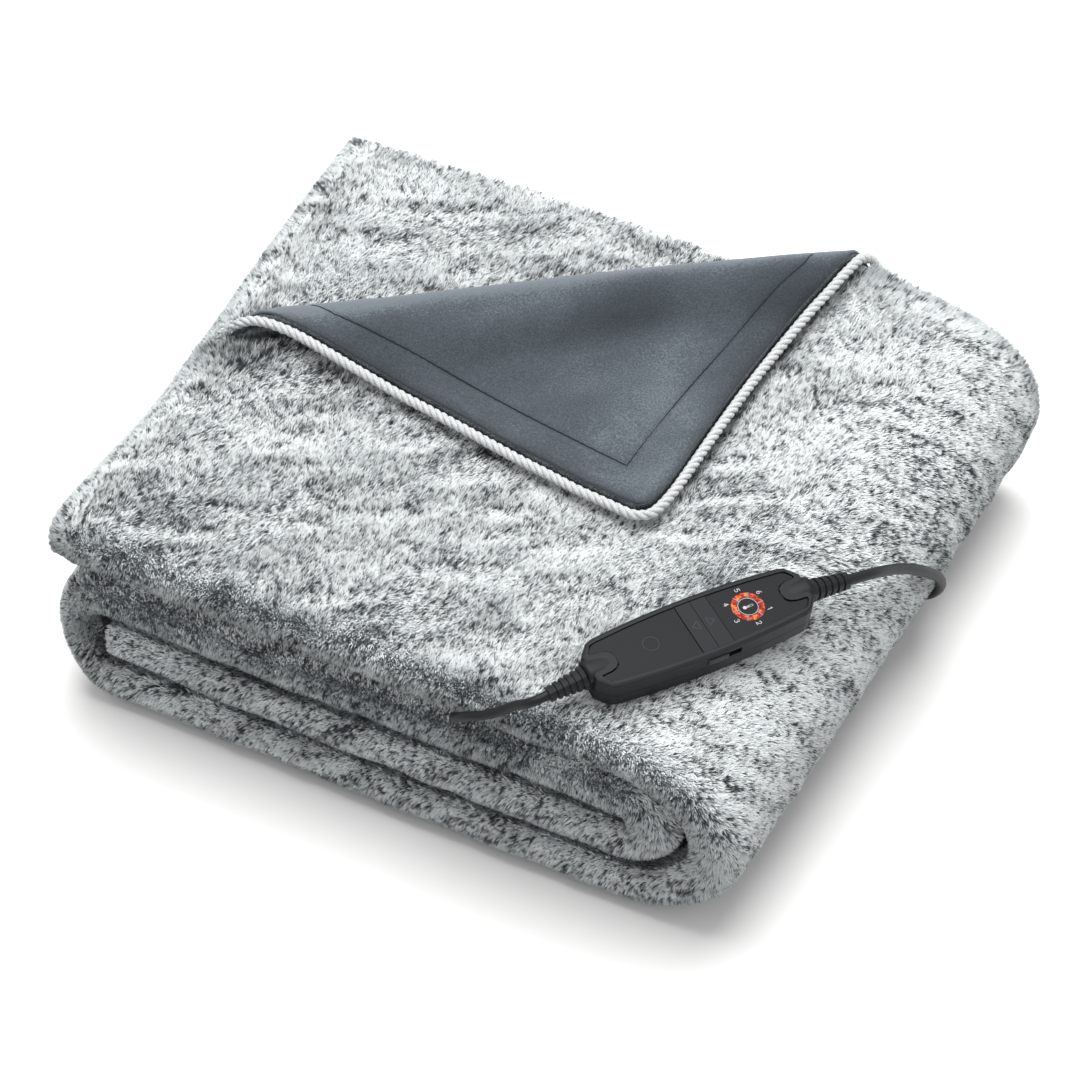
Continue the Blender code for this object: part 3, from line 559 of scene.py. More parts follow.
def lin(*rgb):
    """A colour given as 0 to 255 display values."""
    return tuple((c / 255 / 12.92) if c <= 10 else ((c / 255 + 0.055) / 1.055) ** 2.4 for c in rgb)


# --- materials -----------------------------------------------------------------------------------------------------------
TONES = 16


def pile_material():
    n = Nodes("fur_pile")
    uv = n.node("ShaderNodeUVMap", uv_map="OFBake")
    xyz = n.node("ShaderNodeSeparateXYZ", [("Vector", uv)])
    along = n.ramp(
        (xyz, "X"),
        (
            (0.00, lin(128, 136, 140)),
            (0.16, lin(190, 197, 200)),
            (0.30, lin(236, 240, 241)),
            (0.48, lin(249, 251, 251)),
            (0.80, lin(250, 252, 252)),
            (1.00, lin(250, 252, 252)),
        ),
    )
    # The blade's tone picks these colours; it carries painted shade as well as the fur's own speckle.
    tone = n.ramp(
        (xyz, "Y"),
        (
            (0.00, (0.050, 0.057, 0.062)),
            (0.22, (0.18, 0.195, 0.205)),
            (0.42, (0.42, 0.44, 0.45)),
            (0.66, (0.76, 0.775, 0.78)),
            (0.86, (0.95, 0.957, 0.957)),
            (1.00, (1.0, 1.0, 1.0)),
        ),
    )
    n.link(n.mix((along, 0), (tone, 0), 1.0, "MULTIPLY"), n.shader.inputs["Base Color"])
    n.set(Roughness=0.85, Specular_IOR_Level=0.25)
    n.shader.inputs["Sheen Weight"].default_value = 0.15
    return n.material


def backing_material():
    n = Nodes("fur_backing")
    painted_shade_value = n.node("ShaderNodeAttribute", attribute_name="open")
    fine = n.noise(900.0, 3.0, 0.6)
    broad = n.noise(60.0, 3.0, 0.5)
    both = n.math("ADD", n.math("MULTIPLY", fine, 0.75), n.math("MULTIPLY", broad, 0.25))
    colour = n.ramp(both, ((0.32, lin(40, 45, 49)), (0.50, lin(112, 119, 123)), (0.66, lin(186, 192, 194))))
    # Painted shade: the colour is darkened by the point attribute read above, deep between the plies and where the
    # cloth faces sideways or down.
    painted_fold_shade = n.ramp((painted_shade_value, "Fac"), ((0.0, (0.10, 0.11, 0.12)), (0.6, (0.62, 0.63, 0.64)), (1.0, (1.0, 1.0, 1.0))))
    n.link(n.mix((colour, 0), (painted_fold_shade, 0), 1.0, "MULTIPLY"), n.shader.inputs["Base Color"])
    n.set(Roughness=0.95, Specular_IOR_Level=0.1)
    n.bump(fine, 0.6, 0.0015)
    return n.material


def velour_material():
    n = Nodes("velour_nap")
    nap_and_painted_light = n.node("ShaderNodeAttribute", attribute_name="nap_and_painted_light")
    fine = n.noise(850.0, 3.0, 0.7)
    mottle = n.noise(34.0, 4.0, 0.55, in_Distortion=0.5)
    both = n.math("ADD", n.math("MULTIPLY", fine, 0.90), n.math("MULTIPLY", mottle, 0.24))
    # The point attribute added here brings painted highlight along the crease's bend and painted shade along the piping
    # edge and the stitching, besides the mottle.
    both = n.math("ADD", n.math("SUBTRACT", both, 0.21), (nap_and_painted_light, "Fac"))
    colour = n.ramp(
        both,
        (
            (0.22, lin(29, 34, 39)),
            (0.56, lin(50, 56, 61)),
            (0.80, lin(69, 76, 82)),
            (1.00, lin(98, 106, 112)),
        ),
    )
    n.link((colour, 0), n.shader.inputs["Base Color"])
    n.set(Roughness=0.9, Specular_IOR_Level=0.2)
    n.shader.inputs["Sheen Weight"].default_value = 0.45
    n.shader.inputs["Sheen Roughness"].default_value = 0.45
    n.shader.inputs["Sheen Tint"].default_value = (0.84, 0.88, 0.92, 1.0)
    n.bump(fine, 0.55, 0.0007)
    return n.material


def rope_material():
    n = Nodes("rope_yarn")
    fine = n.noise(1400.0, 2.0, 0.6)
    colour = n.ramp(fine, ((0.30, lin(160, 163, 163)), (0.60, lin(208, 211, 211))))
    n.link((colour, 0), n.shader.inputs["Base Color"])
    n.set(Roughness=0.8, Specular_IOR_Level=0.3)
    n.bump(fine, 0.35, 0.0005)
    return n.material


def plastic_material(name, dark, light, rough, grain=0.25, specular=0.30):
    n = Nodes(name)
    fine = n.noise(2600.0, 2.0, 0.6)
    cloud = n.noise(45.0, 2.0, 0.5)
    both = n.math("ADD", n.math("MULTIPLY", fine, 0.4), n.math("MULTIPLY", cloud, 0.6))
    colour = n.ramp(both, ((0.3, dark), (0.7, light)))
    n.link((colour, 0), n.shader.inputs["Base Color"])
    low = n.node("ShaderNodeMapRange", [("Value", cloud)])
    low.inputs["To Min"].default_value, low.inputs["To Max"].default_value = rough - 0.05, rough + 0.07
    n.link(low, n.shader.inputs["Roughness"])
    n.set(Specular_IOR_Level=specular)
    n.bump(fine, grain, 0.0002)
    return n.material


PILE, BACKING, VELOUR, ROPE_YARN = pile_material(), backing_material(), velour_material(), rope_material()
HOUSING = plastic_material("housing_plastic", lin(20, 24, 25), lin(27, 31, 33), 0.48, 0.30, 0.20)
PANEL = plastic_material("panel_plastic", lin(12, 15, 18), lin(17, 21, 25), 0.42, 0.12, 0.15)
KEYS = plastic_material("key_plastic", lin(20, 23, 25), lin(26, 30, 33), 0.48, 0.20, 0.18)
SLIDER = plastic_material("slider_plastic", lin(38, 44, 44), lin(46, 52, 52), 0.50, 0.25, 0.22)
RUBBER = plastic_material("cord_rubber", lin(20, 23, 24), lin(27, 30, 31), 0.50, 0.15, 0.24)
STEEL = plastic_material("pin_steel", lin(190, 190, 188), lin(206, 206, 204), 0.22, 0.05, 0.5)
STEEL.node_tree.nodes["Principled BSDF"].inputs["Metallic"].default_value = 1.0

for node, made in {
    "handset_base": HOUSING,
    "handset_cover": HOUSING,
    "plate_left": PANEL,
    "plate_right": PANEL,
    "button_up": KEYS,
    "button_down": KEYS,
    "switch_slider": SLIDER,
    "relief_left": RUBBER,
    "relief_right": RUBBER,
    "plug": RUBBER,
    "plug_pin_left": STEEL,
    "plug_pin_right": STEEL,
}.items():
    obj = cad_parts[node]
    obj.data.materials.clear()
    obj.data.materials.append(made)


# --- the handset's place -------------------------------------------------------------------------------------------------
def handset_place():
    up = HANDSET_UP.normalized()
    level = Vector((0.0, 1.0, 0.0)).cross(up).normalized()
    ahead = math.cos(HANDSET_HEADING) * level + math.sin(HANDSET_HEADING) * up.cross(level)
    turn = Matrix((ahead, up.cross(ahead), up)).transposed().to_4x4()
    return Matrix.Translation(HANDSET_AT - CENTRE) @ turn


PLACE = handset_place()
TO_HANDSET = np.array(PLACE.inverted())


def relief_axis(sign, start):
    at = RELIEF_PIVOT + Vector((start - RELIEF_PIVOT.x, 0.0, -(start - RELIEF_PIVOT.x) * math.tan(RELIEF_PITCH)))
    turn = Matrix.Rotation(0.0 if sign > 0 else math.pi, 4, "Z")
    return turn @ Matrix.Translation(at) @ Matrix.Rotation(RELIEF_PITCH, 4, "Y")


# --- the marks on the handset's top ----------------------------------------------------------------------------------------
DIGITS = {
    "1": [(0.12, 0.78), (0.36, 1.0), (0.36, 0.0)],
    "2": [(0.0, 0.78), (0.1, 0.95), (0.3, 1.0), (0.5, 0.95), (0.6, 0.75), (0.5, 0.5), (0.0, 0.0), (0.6, 0.0)],
    "3": [(0.0, 0.85), (0.15, 0.98), (0.35, 1.0), (0.55, 0.88), (0.55, 0.68), (0.3, 0.53), (0.57, 0.4), (0.6, 0.2), (0.4, 0.02), (0.15, 0.0), (0.0, 0.15)],
    "4": [(0.45, 0.0), (0.45, 1.0), (0.0, 0.3), (0.62, 0.3)],
    "5": [(0.55, 1.0), (0.08, 1.0), (0.03, 0.52), (0.3, 0.62), (0.55, 0.5), (0.6, 0.28), (0.45, 0.05), (0.2, 0.0), (0.0, 0.12)],
    "6": [(0.5, 1.0), (0.2, 0.75), (0.03, 0.4), (0.05, 0.15), (0.25, 0.0), (0.48, 0.05), (0.6, 0.28), (0.5, 0.5), (0.28, 0.57), (0.05, 0.4)],
}
DIAL = np.array((0.0339, 0.0008))
MARK_HIGH = 0.00006


class Marks:
    """Thin raised marks gathered into one mesh, in the handset's own x and y."""

    def __init__(self, top):
        self.top, self.points, self.faces = top, [], []

    def slab(self, outline):
        """A flat slab over a convex outline."""
        n, first = len(outline), len(self.points)
        for z in (self.top - 0.00002, self.top + MARK_HIGH):
            self.points += [(x, y, z) for x, y in outline]
        self.faces.append([first + n + k for k in range(n)])
        self.faces.append([first + n - 1 - k for k in range(n)])
        self.faces += [[first + k, first + (k + 1) % n, first + n + (k + 1) % n, first + n + k] for k in range(n)]

    def stroke(self, line, width, closed=False):
        line = [np.array(p, float) for p in line]
        pairs = list(zip(line, line[1:])) + ([(line[-1], line[0])] if closed else [])
        for a, b in pairs:
            d = (b - a) / np.linalg.norm(b - a)
            side = np.array((-d[1], d[0])) * width / 2
            a, b = a - d * width * 0.35, b + d * width * 0.35
            self.slab([tuple(p) for p in (a - side, b - side, b + side, a + side)])

    def arc(self, centre, inner, outer, start, end, steps):
        angles = np.radians(np.linspace(start, end, steps + 1))
        for a, b in zip(angles, angles[1:]):
            ways = [np.array((math.cos(v), math.sin(v))) for v in (a, b)]
            rows = [centre + inner * ways[0], centre + outer * ways[0], centre + outer * ways[1], centre + inner * ways[1]]
            self.slab([tuple(p) for p in rows])

    def piece(self, name, material, body, slot):
        mesh = bpy.data.meshes.new(name)
        mesh.from_pydata([tuple(PLACE @ Vector(p)) for p in self.points], [], self.faces)
        mesh.validate()
        mesh.update()
        mesh.materials.append(material)
        return add(name, mesh, body)


def mark_material(name, dark, light, scale=900.0, glow=None):
    n = Nodes(name)
    fine = n.noise(scale, 2.0, 0.6)
    colour = n.ramp(fine, ((0.38, dark), (0.62, light)))
    n.link((colour, 0), n.shader.inputs["Base Color"])
    if glow:
        shine = n.ramp(fine, ((0.36, glow[0]), (0.50, glow[1]), (0.64, glow[2])))
        n.link((shine, 0), n.shader.inputs["Emission Color"])
        n.shader.inputs["Emission Strength"].default_value = 1.0
    n.set(Roughness=0.5, Specular_IOR_Level=0.2)
    return n.material


def end_boss(name, sign):
    """The smooth half cone that runs from a strain relief's root down on to the plate."""
    rows = (  # x, half width, bottom, top
        (0.0772, 0.0076, 0.0120, 0.02125),
        (0.0740, 0.0076, 0.0130, 0.02125),
        (0.0700, 0.0072, 0.0145, 0.02105),
        (0.0660, 0.0066, 0.0160, 0.02075),
        (0.0625, 0.0057, 0.0172, 0.02040),
        (0.0595, 0.0045, 0.0182, 0.02005),
        (0.0572, 0.0030, 0.0188, 0.01975),
        (0.0560, 0.0012, 0.0192, 0.01950),
    )
    count, rings = 20, []
    for x, half, bottom, top in rows:
        a = np.linspace(0.0, 2 * math.pi, count, endpoint=False)
        middle, high = (bottom + top) / 2, (top - bottom) / 2
        ring = np.stack([np.full(count, sign * x), half * np.cos(a), middle + high * np.sin(a)], axis=1)
        rings.append([tuple(PLACE @ Vector(p)) for p in ring])
    mesh = bpy.data.meshes.new(name)
    faces = [tuple(range(count)), tuple((len(rows) - 1) * count + k for k in range(count))]
    for j in range(len(rows) - 1):
        for k in range(count):
            m = (k + 1) % count
            faces.append((j * count + k, j * count + m, (j + 1) * count + m, (j + 1) * count + k))
    mesh.from_pydata([p for ring in rings for p in ring], [], faces)
    bm = bmesh.new()
    bm.from_mesh(mesh)
    bmesh.ops.recalc_face_normals(bm, faces=bm.faces)
    bm.to_mesh(mesh)
    bm.free()
    mesh.polygons.foreach_set("use_smooth", np.array([len(p.vertices) == 4 for p in mesh.polygons]))
    mesh.update()
    mesh.materials.append(HOUSING)
    return add(name, mesh)


def handset_marks():
    pale = mark_material("mark_print", lin(172, 176, 178), lin(190, 194, 196))
    shine = (lin(120, 12, 6), lin(216, 44, 16), lin(255, 150, 60))
    glow = mark_material("dial_glow", lin(40, 6, 4), lin(64, 14, 8), 420.0, shine)
    faint = mark_material("mark_relief", lin(56, 61, 64), lin(64, 69, 72))
    across = lambda right, up: DIAL + np.array((up, -right))
    dial = Marks(PLATE_TOP)
    for k in range(6):
        dial.arc(DIAL, 0.0068, 0.0102, 60 * k + 3, 60 * k + 57, 8)
    dial.piece("dial_ring", glow, "blanket", "panel")
    print_ = Marks(PLATE_TOP)
    for k in range(6):
        a = math.radians(60 * k)
        way = np.array((math.cos(a), math.sin(a)))
        print_.stroke([DIAL + 0.0066 * way, DIAL + 0.0104 * way], 0.00028)
    print_.arc(DIAL, 0.0060, 0.0063, 0, 360, 40)
    # The thermometer sign inside the ring
    print_.arc(across(0.0, -0.0022), 0.0, 0.0012, 0, 360, 14)
    print_.stroke([across(-0.00055, -0.0014), across(-0.00055, 0.0030)], 0.00022)
    print_.stroke([across(0.00055, -0.0014), across(0.00055, 0.0030)], 0.00022)
    print_.arc(across(0.0, 0.0030), 0.00044, 0.00066, -90, 90, 8)
    print_.stroke([across(0.0, -0.0014), across(0.0, 0.0010)], 0.00035)
    for digit, right, up in (("1", 0.5, 0.87), ("2", 1.0, 0.0), ("3", 0.5, -0.87), ("4", -0.5, -0.87), ("5", -1.0, 0.0), ("6", -0.5, 0.87)):
        high = 0.0031
        middle = np.array((right, up)) * 0.0131
        line = [across(*(middle + (np.array(p) - (0.3, 0.5)) * high)) for p in DIGITS[digit]]
        print_.stroke(line, 0.00042)
    print_.piece("dial_print", pale, "blanket", "panel")
    # A plain ring at the other end
    ring = Marks(PLATE_TOP)
    ring.arc(np.array((-0.0325, 0.0008)), 0.0048, 0.00502, 0, 360, 36)
    ring.piece("plate_ring", faint, "blanket", "panel")
    for name, body, x, sign in (("key_down_sign", "key_down", -0.0020, -1.0), ("key_up_sign", "key_up", 0.0085, 1.0)):
        sign_ = Marks(KEY_TOP)
        corners = [(x + sign * 0.0022, 0.0008), (x - sign * 0.0022, 0.0038), (x - sign * 0.0022, -0.0022)]
        sign_.stroke(corners, 0.00030, closed=True)
        sign_.piece(name, faint, body, "keys")


handset_marks()
end_boss("boss_left", -1.0)
end_boss("boss_right", 1.0)


# --- the cords -----------------------------------------------------------------------------------------------------------
def cord_curve(name, points, diameter):
    data = bpy.data.curves.new(name, "CURVE")
    data.dimensions, data.bevel_depth, data.bevel_resolution = "3D", 1.0, 4
    data.use_fill_caps, data.resolution_u = True, 3
    spline = data.splines.new("NURBS")
    spline.points.add(len(points) - 1)
    for point, at in zip(spline.points, points):
        point.co, point.radius = (*at, 1.0), diameter / 2
    spline.order_u, spline.use_endpoint_u = 4, True
    obj = add(name, data)
    data.materials.append(RUBBER)
    return obj


def out_of(name, spare):
    sign = 1 if name == "relief_right" else -1
    start, length, _ = RELIEFS[name]
    axis = PLACE @ relief_axis(sign, start)
    end = axis @ Vector((length, 0.0, 0.0))
    straight = (axis @ Vector((length + 0.006, 0.0, 0.0)) - end).normalized()
    return [np.array(end + straight * (0.0004 + step)) for step in (0.0, spare)]


def round_front(x, angle, lift):
    a, r = math.radians(angle), PITCH + PLY / 2 + lift
    return real([(x, FRONT_FOLD - r * math.cos(a), TOP_LAYER + r * math.sin(a))])[0]


def round_roll(y, angle, lift):
    a, r = math.radians(angle), 2 * LAYER_PITCH - 0.001 + lift
    centre = TOP_LAYER - 1.5 * LAYER_PITCH
    return real([(ROLL_X + r * math.cos(a), y, centre + r * math.sin(a))])[0]


blanket_points = out_of("relief_left", 0.010)
blanket_points += [np.array(p) - MIDDLE for p in BLANKET_ROUTE]
blanket_points += [round_front(*row) for row in BLANKET_ROUND]
blanket_points = smooth_line(blanket_points, 0.0055)
cord_blanket = cord_curve("lead_blanket", blanket_points, BLANKET_CORD)
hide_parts("cord_blanket")

mains = out_of("relief_right", 0.017) + [np.array(p) - MIDDLE for p in MAINS_OVER]
mains += [round_roll(*row) for row in MAINS_ROUND]
mains += [np.array((x, y, MAINS_CORD / 2 + GAP)) - MIDDLE for x, y in MAINS_FLOOR]
coil_outer = COIL_INNER + MAINS_CORD
touch = math.sqrt((coil_outer + MAINS_CORD + 2 * GAP) ** 2 - coil_outer**2)
coil_at = np.array((*COIL_AT, 0.0)) - MIDDLE
mains += [coil_at + (touch, -coil_outer, MAINS_CORD / 2 + GAP)]
mains_points = list(smooth_line(mains, 0.0200))


def coil_turns():
    """The six turns, wound clockwise from the south side: out, in, in, in, out, out, in three layers."""
    order = ((1, 0), (0, 0), (0, 1), (0, 2), (1, 2), (1, 1))
    steps, found = 16, []
    for k, (column, layer) in enumerate(order):
        there = order[min(k + 1, len(order) - 1)]
        for j in range(steps):
            f = ramp(max(0.0, (j / steps - 0.72) / 0.28)) if k < len(order) - 1 else 0.0
            radius = COIL_INNER + MAINS_CORD * (column + (there[0] - column) * f)
            height = MAINS_CORD * (layer + (there[1] - layer) * f) + MAINS_CORD / 2 + GAP
            a = -math.pi / 2 - 2 * math.pi * j / steps
            found.append(coil_at + (radius * math.cos(a), radius * math.sin(a), height))
    return found


plug_z = PLUG_HIGH / 2
plug_at = np.array((*PLUG_AT, plug_z)) - MIDDLE
turns = coil_turns()
tail = [
    coil_at + (0.0, -coil_outer, MAINS_CORD * 1.5 + GAP),
    coil_at + (-0.017, -coil_outer - 0.0001, 0.0100),
    coil_at + (-touch - 0.014, -coil_outer + 0.0004, 0.0076),
    plug_at + (0.0220, 0.0, 0.0),
    plug_at + (0.0134, 0.0, 0.0),
]
cord_points = mains_points + turns + tail
cord_mains = cord_curve("lead_mains", cord_points, MAINS_CORD)
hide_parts("cord_mains", "cord_coil", "cord_tail")

# --- the fur cloth: its backing ------------------------------------------------------------------------------------------
FUR_IN, FUR_OUT = -0.0060, 0.0030


def loft(rings, closed_ring=True, caps=True):
    """Points and quads of a closed skin over rings of equally many points."""
    count, m = len(rings), len(rings[0])
    i, j = np.meshgrid(np.arange(count - 1), np.arange(m if closed_ring else m - 1), indexing="ij")
    k = (j + 1) % m
    quads = np.stack([i * m + j, i * m + k, (i + 1) * m + k, (i + 1) * m + j], axis=-1).reshape(-1, 4)
    if caps:
        n = m // 2
        j = np.arange(n - 1)
        for first, flip in ((0, True), ((count - 1) * m, False)):
            cap = np.stack([first + j, first + j + 1, first + m - 2 - j, first + m - 1 - j], axis=-1)
            quads = np.vstack([quads, cap[:, ::-1] if flip else cap])
    return np.vstack(rings), quads


def facing_out(mesh):
    bm = bmesh.new()
    bm.from_mesh(mesh)
    bmesh.ops.recalc_face_normals(bm, faces=bm.faces)
    bm.to_mesh(mesh)
    bm.free()
    mesh.polygons.foreach_set("use_smooth", np.ones(len(mesh.polygons), bool))
    mesh.update()
    return mesh


S_GRID = np.linspace(0.0, ROUTE[0][1] - 1e-6, 1200)
Y_END_GRID = top_ply_end(S_GRID)


def y_end_at(s):
    return np.where(s < ROUTE[0][1], np.interp(s, S_GRID, Y_END_GRID), BACK_EDGE)


TIP_S = float(S_GRID[np.argmax(Y_END_GRID > BACK_EDGE - 0.001)])


def lifted(s, u, w):
    """The cloth, drawn up where the turned-back corner's crease leaves it at both ends."""
    s, u, w = (v.ravel() for v in np.broadcast_arrays(*(np.asarray(v, float) for v in (s, u, w))))
    points = cloth(s, u, w)
    short = np.maximum(y_end_at(s) - (FRONT_FOLD + u - TOP_FROM), 0.0)
    right = 0.0085 * np.exp(-(((s - TIP_S - 0.006) / 0.030) ** 2)) * np.exp(-((short / 0.022) ** 2))
    left = 0.0060 * np.exp(-((s / 0.060) ** 2)) * np.exp(-((short / 0.024) ** 2))
    points[:, 2] += np.where(u > TOP_FROM, right + left, 0.0) * (s < ROUTE[0][1])
    return points


def backing():
    stations = marks(ROUTE, [2 * n for n in STATIONS])
    stations = np.sort(np.append(stations, 0.004))
    across = marks(SECTION, [2 * n for n in ACROSS])
    share = np.clip((across - TOP_FROM) / DEPTH, 0.0, 1.0)
    rings, places = [], []
    for s in stations:
        y_end = float(y_end_at(np.array([s]))[0])
        u = np.where(across > TOP_FROM, TOP_FROM + share * (y_end - FRONT_FOLD), across)
        rings.append(np.vstack([lifted(s, u, FUR_OUT), lifted(s, u, FUR_IN)[::-1]]))
        places.append(np.stack([np.full(2 * len(u), s), np.append(u, u[::-1])], axis=1))
    points, quads = loft(rings)
    return points, quads, np.vstack(places)


FLAP_TO = 0.4140


def flap_grid(low, high, columns=80, rows=40, q_less=0.0011, q_from=0.0):
    """Rings of the turned-back corner between two heights."""
    first = CORNER_FROM + 0.0040
    t = first + (FLAP_TO - first) * 0.5 * (1.0 - np.cos(np.linspace(0.0, math.pi, columns)))
    order = np.argsort(CLOTH_EDGE[:, 0])
    q_end = np.interp(t, CLOTH_EDGE[order, 0], CLOTH_EDGE[order, 1]) - q_less
    q_end = np.maximum(q_end, q_from + 0.001)
    sides = []
    for w in (low, high):
        grid = []
        for k in range(rows):
            f = (k / (rows - 1)) ** 1.3
            q = q_from + (q_end - q_from) * f
            grid.append(corner(t, q, np.minimum(w, bend_radius(t) - 0.0008)))
        sides.append(np.stack(grid, axis=1))  # columns, rows, 3
    rings = [np.vstack([a, b[::-1]]) for a, b in zip(*sides)]
    return rings, t, q_end


points, quads, BACKING_AT = backing()
flap_rings, _, _ = flap_grid(-0.0040, 0.0026, columns=60, rows=20, q_from=-0.004)
flap_points, flap_quads = loft(flap_rings)
base_mesh = mesh_of("fur_backing", real(np.vstack([points, flap_points])), np.vstack([quads, flap_quads + len(points)]))
facing_out(base_mesh)
base_mesh.materials.append(BACKING)
fur = add("fur_backing", base_mesh)
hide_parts("fur_overblanket")

# --- the velour lining on the turned-back corner --------------------------------------------------------------------------
STITCH = np.array(  # t, q of the stitched line
    (
        (0.0680, 0.0262),
        (0.0736, 0.0319),
        (0.0989, 0.0559),
        (0.1198, 0.0759),
        (0.1409, 0.0985),
        (0.1777, 0.1398),
        (0.2100, 0.1738),
        (0.2280, 0.1918),
        (0.2286, 0.1924),
        (0.2292, 0.1914),
        (0.2487, 0.1653),
        (0.2753, 0.1315),
        (0.2940, 0.1092),
        (0.3164, 0.0840),
        (0.3320, 0.0667),
        (0.3474, 0.0508),
        (0.3609, 0.0391),
        (0.3730, 0.0285),
    )
)


def near_line(t, q, line):
    """The distance of each place on the corner from a line."""
    best = np.full(np.shape(t), 1e9)
    for (ta, qa), (tb, qb) in zip(line, line[1:]):
        dt, dq = tb - ta, qb - qa
        f = np.clip(((t - ta) * dt + (q - qa) * dq) / (dt * dt + dq * dq), 0.0, 1.0)
        best = np.minimum(best, np.hypot(t - ta - f * dt, q - qa - f * dq))
    return best


def velour_piece():
    columns, rows = 150, 84
    rings, t, q_end = flap_grid(0.0, 1.0, columns=columns, rows=rows, q_from=BEND_FROM - 0.004)
    f = (np.arange(rows) / (rows - 1)) ** 1.3
    q = (BEND_FROM - 0.004) + (q_end[:, None] - (BEND_FROM - 0.004)) * f[None, :]
    tt = np.repeat(t[:, None], rows, axis=1)
    seam = near_line(tt, q, STITCH)
    edge = near_line(tt, q, CLOTH_EDGE[::3])
    inward = np.minimum(np.abs(tt - t[0]), 1.0)
    sag = 0.00045 * np.exp(-((seam / 0.0022) ** 2)) * ramp(inward / 0.02)
    soft = 0.0009 * (noise(tt + 0.3 * q, q, 0.038, 31) - 0.5) * ramp(q / 0.05) * ramp(edge / 0.02)
    out = VELOUR_SIDES[0] - soft + sag
    outer = corner(tt, q, np.minimum(out, 0.0)).reshape(columns, rows, 3)
    inner = corner(tt, q, np.full_like(q, VELOUR_SIDES[1] + 0.0003)).reshape(columns, rows, 3)
    points, quads = loft([np.vstack([a, b[::-1]]) for a, b in zip(outer, inner)])
    mesh = mesh_of("velour_lining", real(points), quads)
    past = q - 0.72 * math.pi * bend_radius(tt)
    broad = noise(tt + 0.6 * q, q - 0.2 * tt, 0.050, 33) - 0.5
    streak = noise(tt * 0.35 + q, q * 1.2, 0.030, 34) - 0.5
    # The lining's colour shift: a painted highlight along the crease's bend, a darker band a little past it and lighter
    # further on, random mottle and streaks, and painted shade along the piping edge and in the stitched trough.
    nap_and_painted_light = (
        0.36
        + 0.42 * np.exp(-((past / 0.0085) ** 2))
        - 0.20 * np.exp(-(((past - 0.040) / 0.020) ** 2)) * ramp((tt - 0.06) / 0.05)
        + 0.12 * ramp((past - 0.070) / 0.070)
        + 0.26 * broad
        + 0.14 * streak
        - 0.20 * np.exp(-((edge / 0.0050) ** 2))
        - 0.10 * np.exp(-((seam / 0.0016) ** 2))
    )
    nap_and_painted_light = np.hstack([nap_and_painted_light, nap_and_painted_light[:, ::-1]]).ravel()
    layer = mesh.attributes.new("nap_and_painted_light", "FLOAT", "POINT")
    layer.data.foreach_set("value", nap_and_painted_light.astype(np.float32))
    facing_out(mesh)
    mesh.materials.append(VELOUR)
    piece = add("velour_nap", mesh)
    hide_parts("velour_lining")
    return piece


def ribbon(line, radius, squash=0.5, sides=6):
    """Points and quads of a thin rod along a line, without its ends."""
    ahead = unit(np.gradient(line, axis=0))
    side = unit(np.cross(ahead, (0.0, 0.0, 1.0)))
    over = np.cross(side, ahead)
    b = np.linspace(0.0, 2 * math.pi, sides, endpoint=False)
    ring = line[:, None] + radius * (
        np.cos(b)[None, :, None] * side[:, None] + squash * np.sin(b)[None, :, None] * over[:, None]
    )
    i, j = np.meshgrid(np.arange(len(line) - 1), np.arange(sides), indexing="ij")
    k = (j + 1) % sides
    quads = np.stack([i * sides + j, i * sides + k, (i + 1) * sides + k, (i + 1) * sides + j], axis=-1)
    return ring.reshape(-1, 3), quads.reshape(-1, 4)


def stitch_piece():
    line = smooth_line(STITCH[:8], 0.0016)
    line = np.vstack([line, smooth_line(STITCH[8:], 0.0016)])
    wobble = 0.0002 * np.sin(np.arange(len(line)) * 1.7)
    at = real(corner(line[:, 0], line[:, 1] + wobble, VELOUR_SIDES[0] + 0.0001))
    points, quads = ribbon(at, 0.00032, 0.6, 6)
    n = Nodes("seam_thread_and_shade")
    fine = n.noise(1800.0, 1.0, 0.5)
    # The thread is coloured darker than the lining partly as painted shade of the trough it lies in.
    colour = n.ramp(fine, ((0.3, lin(32, 36, 40)), (0.7, lin(43, 48, 52))))
    n.link((colour, 0), n.shader.inputs["Base Color"])
    n.set(Roughness=0.95, Specular_IOR_Level=0.1)
    mesh = mesh_of("seam_line", points, quads)
    mesh.materials.append(n.material)
    return add("seam_line", mesh)


velour = velour_piece()
seam_line = stitch_piece()

# --- the rope piping ---------------------------------------------------------------------------------------------------
top_from = TOP_FROM
u_back, u_front = lengths(SECTION)[0], sum(lengths(SECTION)[:3])
end_u = np.concatenate(
    [
        np.linspace(0.0, u_back, 7),
        u_back + math.pi * PITCH / 2 * np.array((0.25, 0.5, 0.75, 1.0)),
        np.linspace(u_back + math.pi * PITCH / 2, u_front, 7)[1:],
        u_front + math.pi * PITCH * np.array((0.17, 0.33, 0.5, 0.67, 0.83, 1.0)),
        top_from + np.array((0.03, 0.06, 0.09, 0.115, 0.135)),
    ]
)


def outside(edge, step):
    """The piping's line beside a cloth's edge, from the edge and the same points a small step off the cloth."""
    along = np.gradient(edge, axis=0)
    along /= np.linalg.norm(along, axis=1)[:, None]
    out = step - edge
    out -= (out * along).sum(1)[:, None] * along
    return edge + ROPE_OFF * out / np.linalg.norm(out, axis=1)[:, None]


free_end = outside(uneven(cloth(0.0, end_u, 0.0)), uneven(cloth(-0.001, end_u, 0.0)))


def flap_edge(t, q):
    """The middle of the cloth's edge round the turned-back corner, where its piping clears the ply below."""
    p = corner(t, q, -0.0010)
    over = q > 0.8 * math.pi * bend_radius(t)
    p[:, 2] = np.where(over, np.maximum(p[:, 2], HEIGHT + ROPE + 0.0010), p[:, 2])
    return uneven(p)


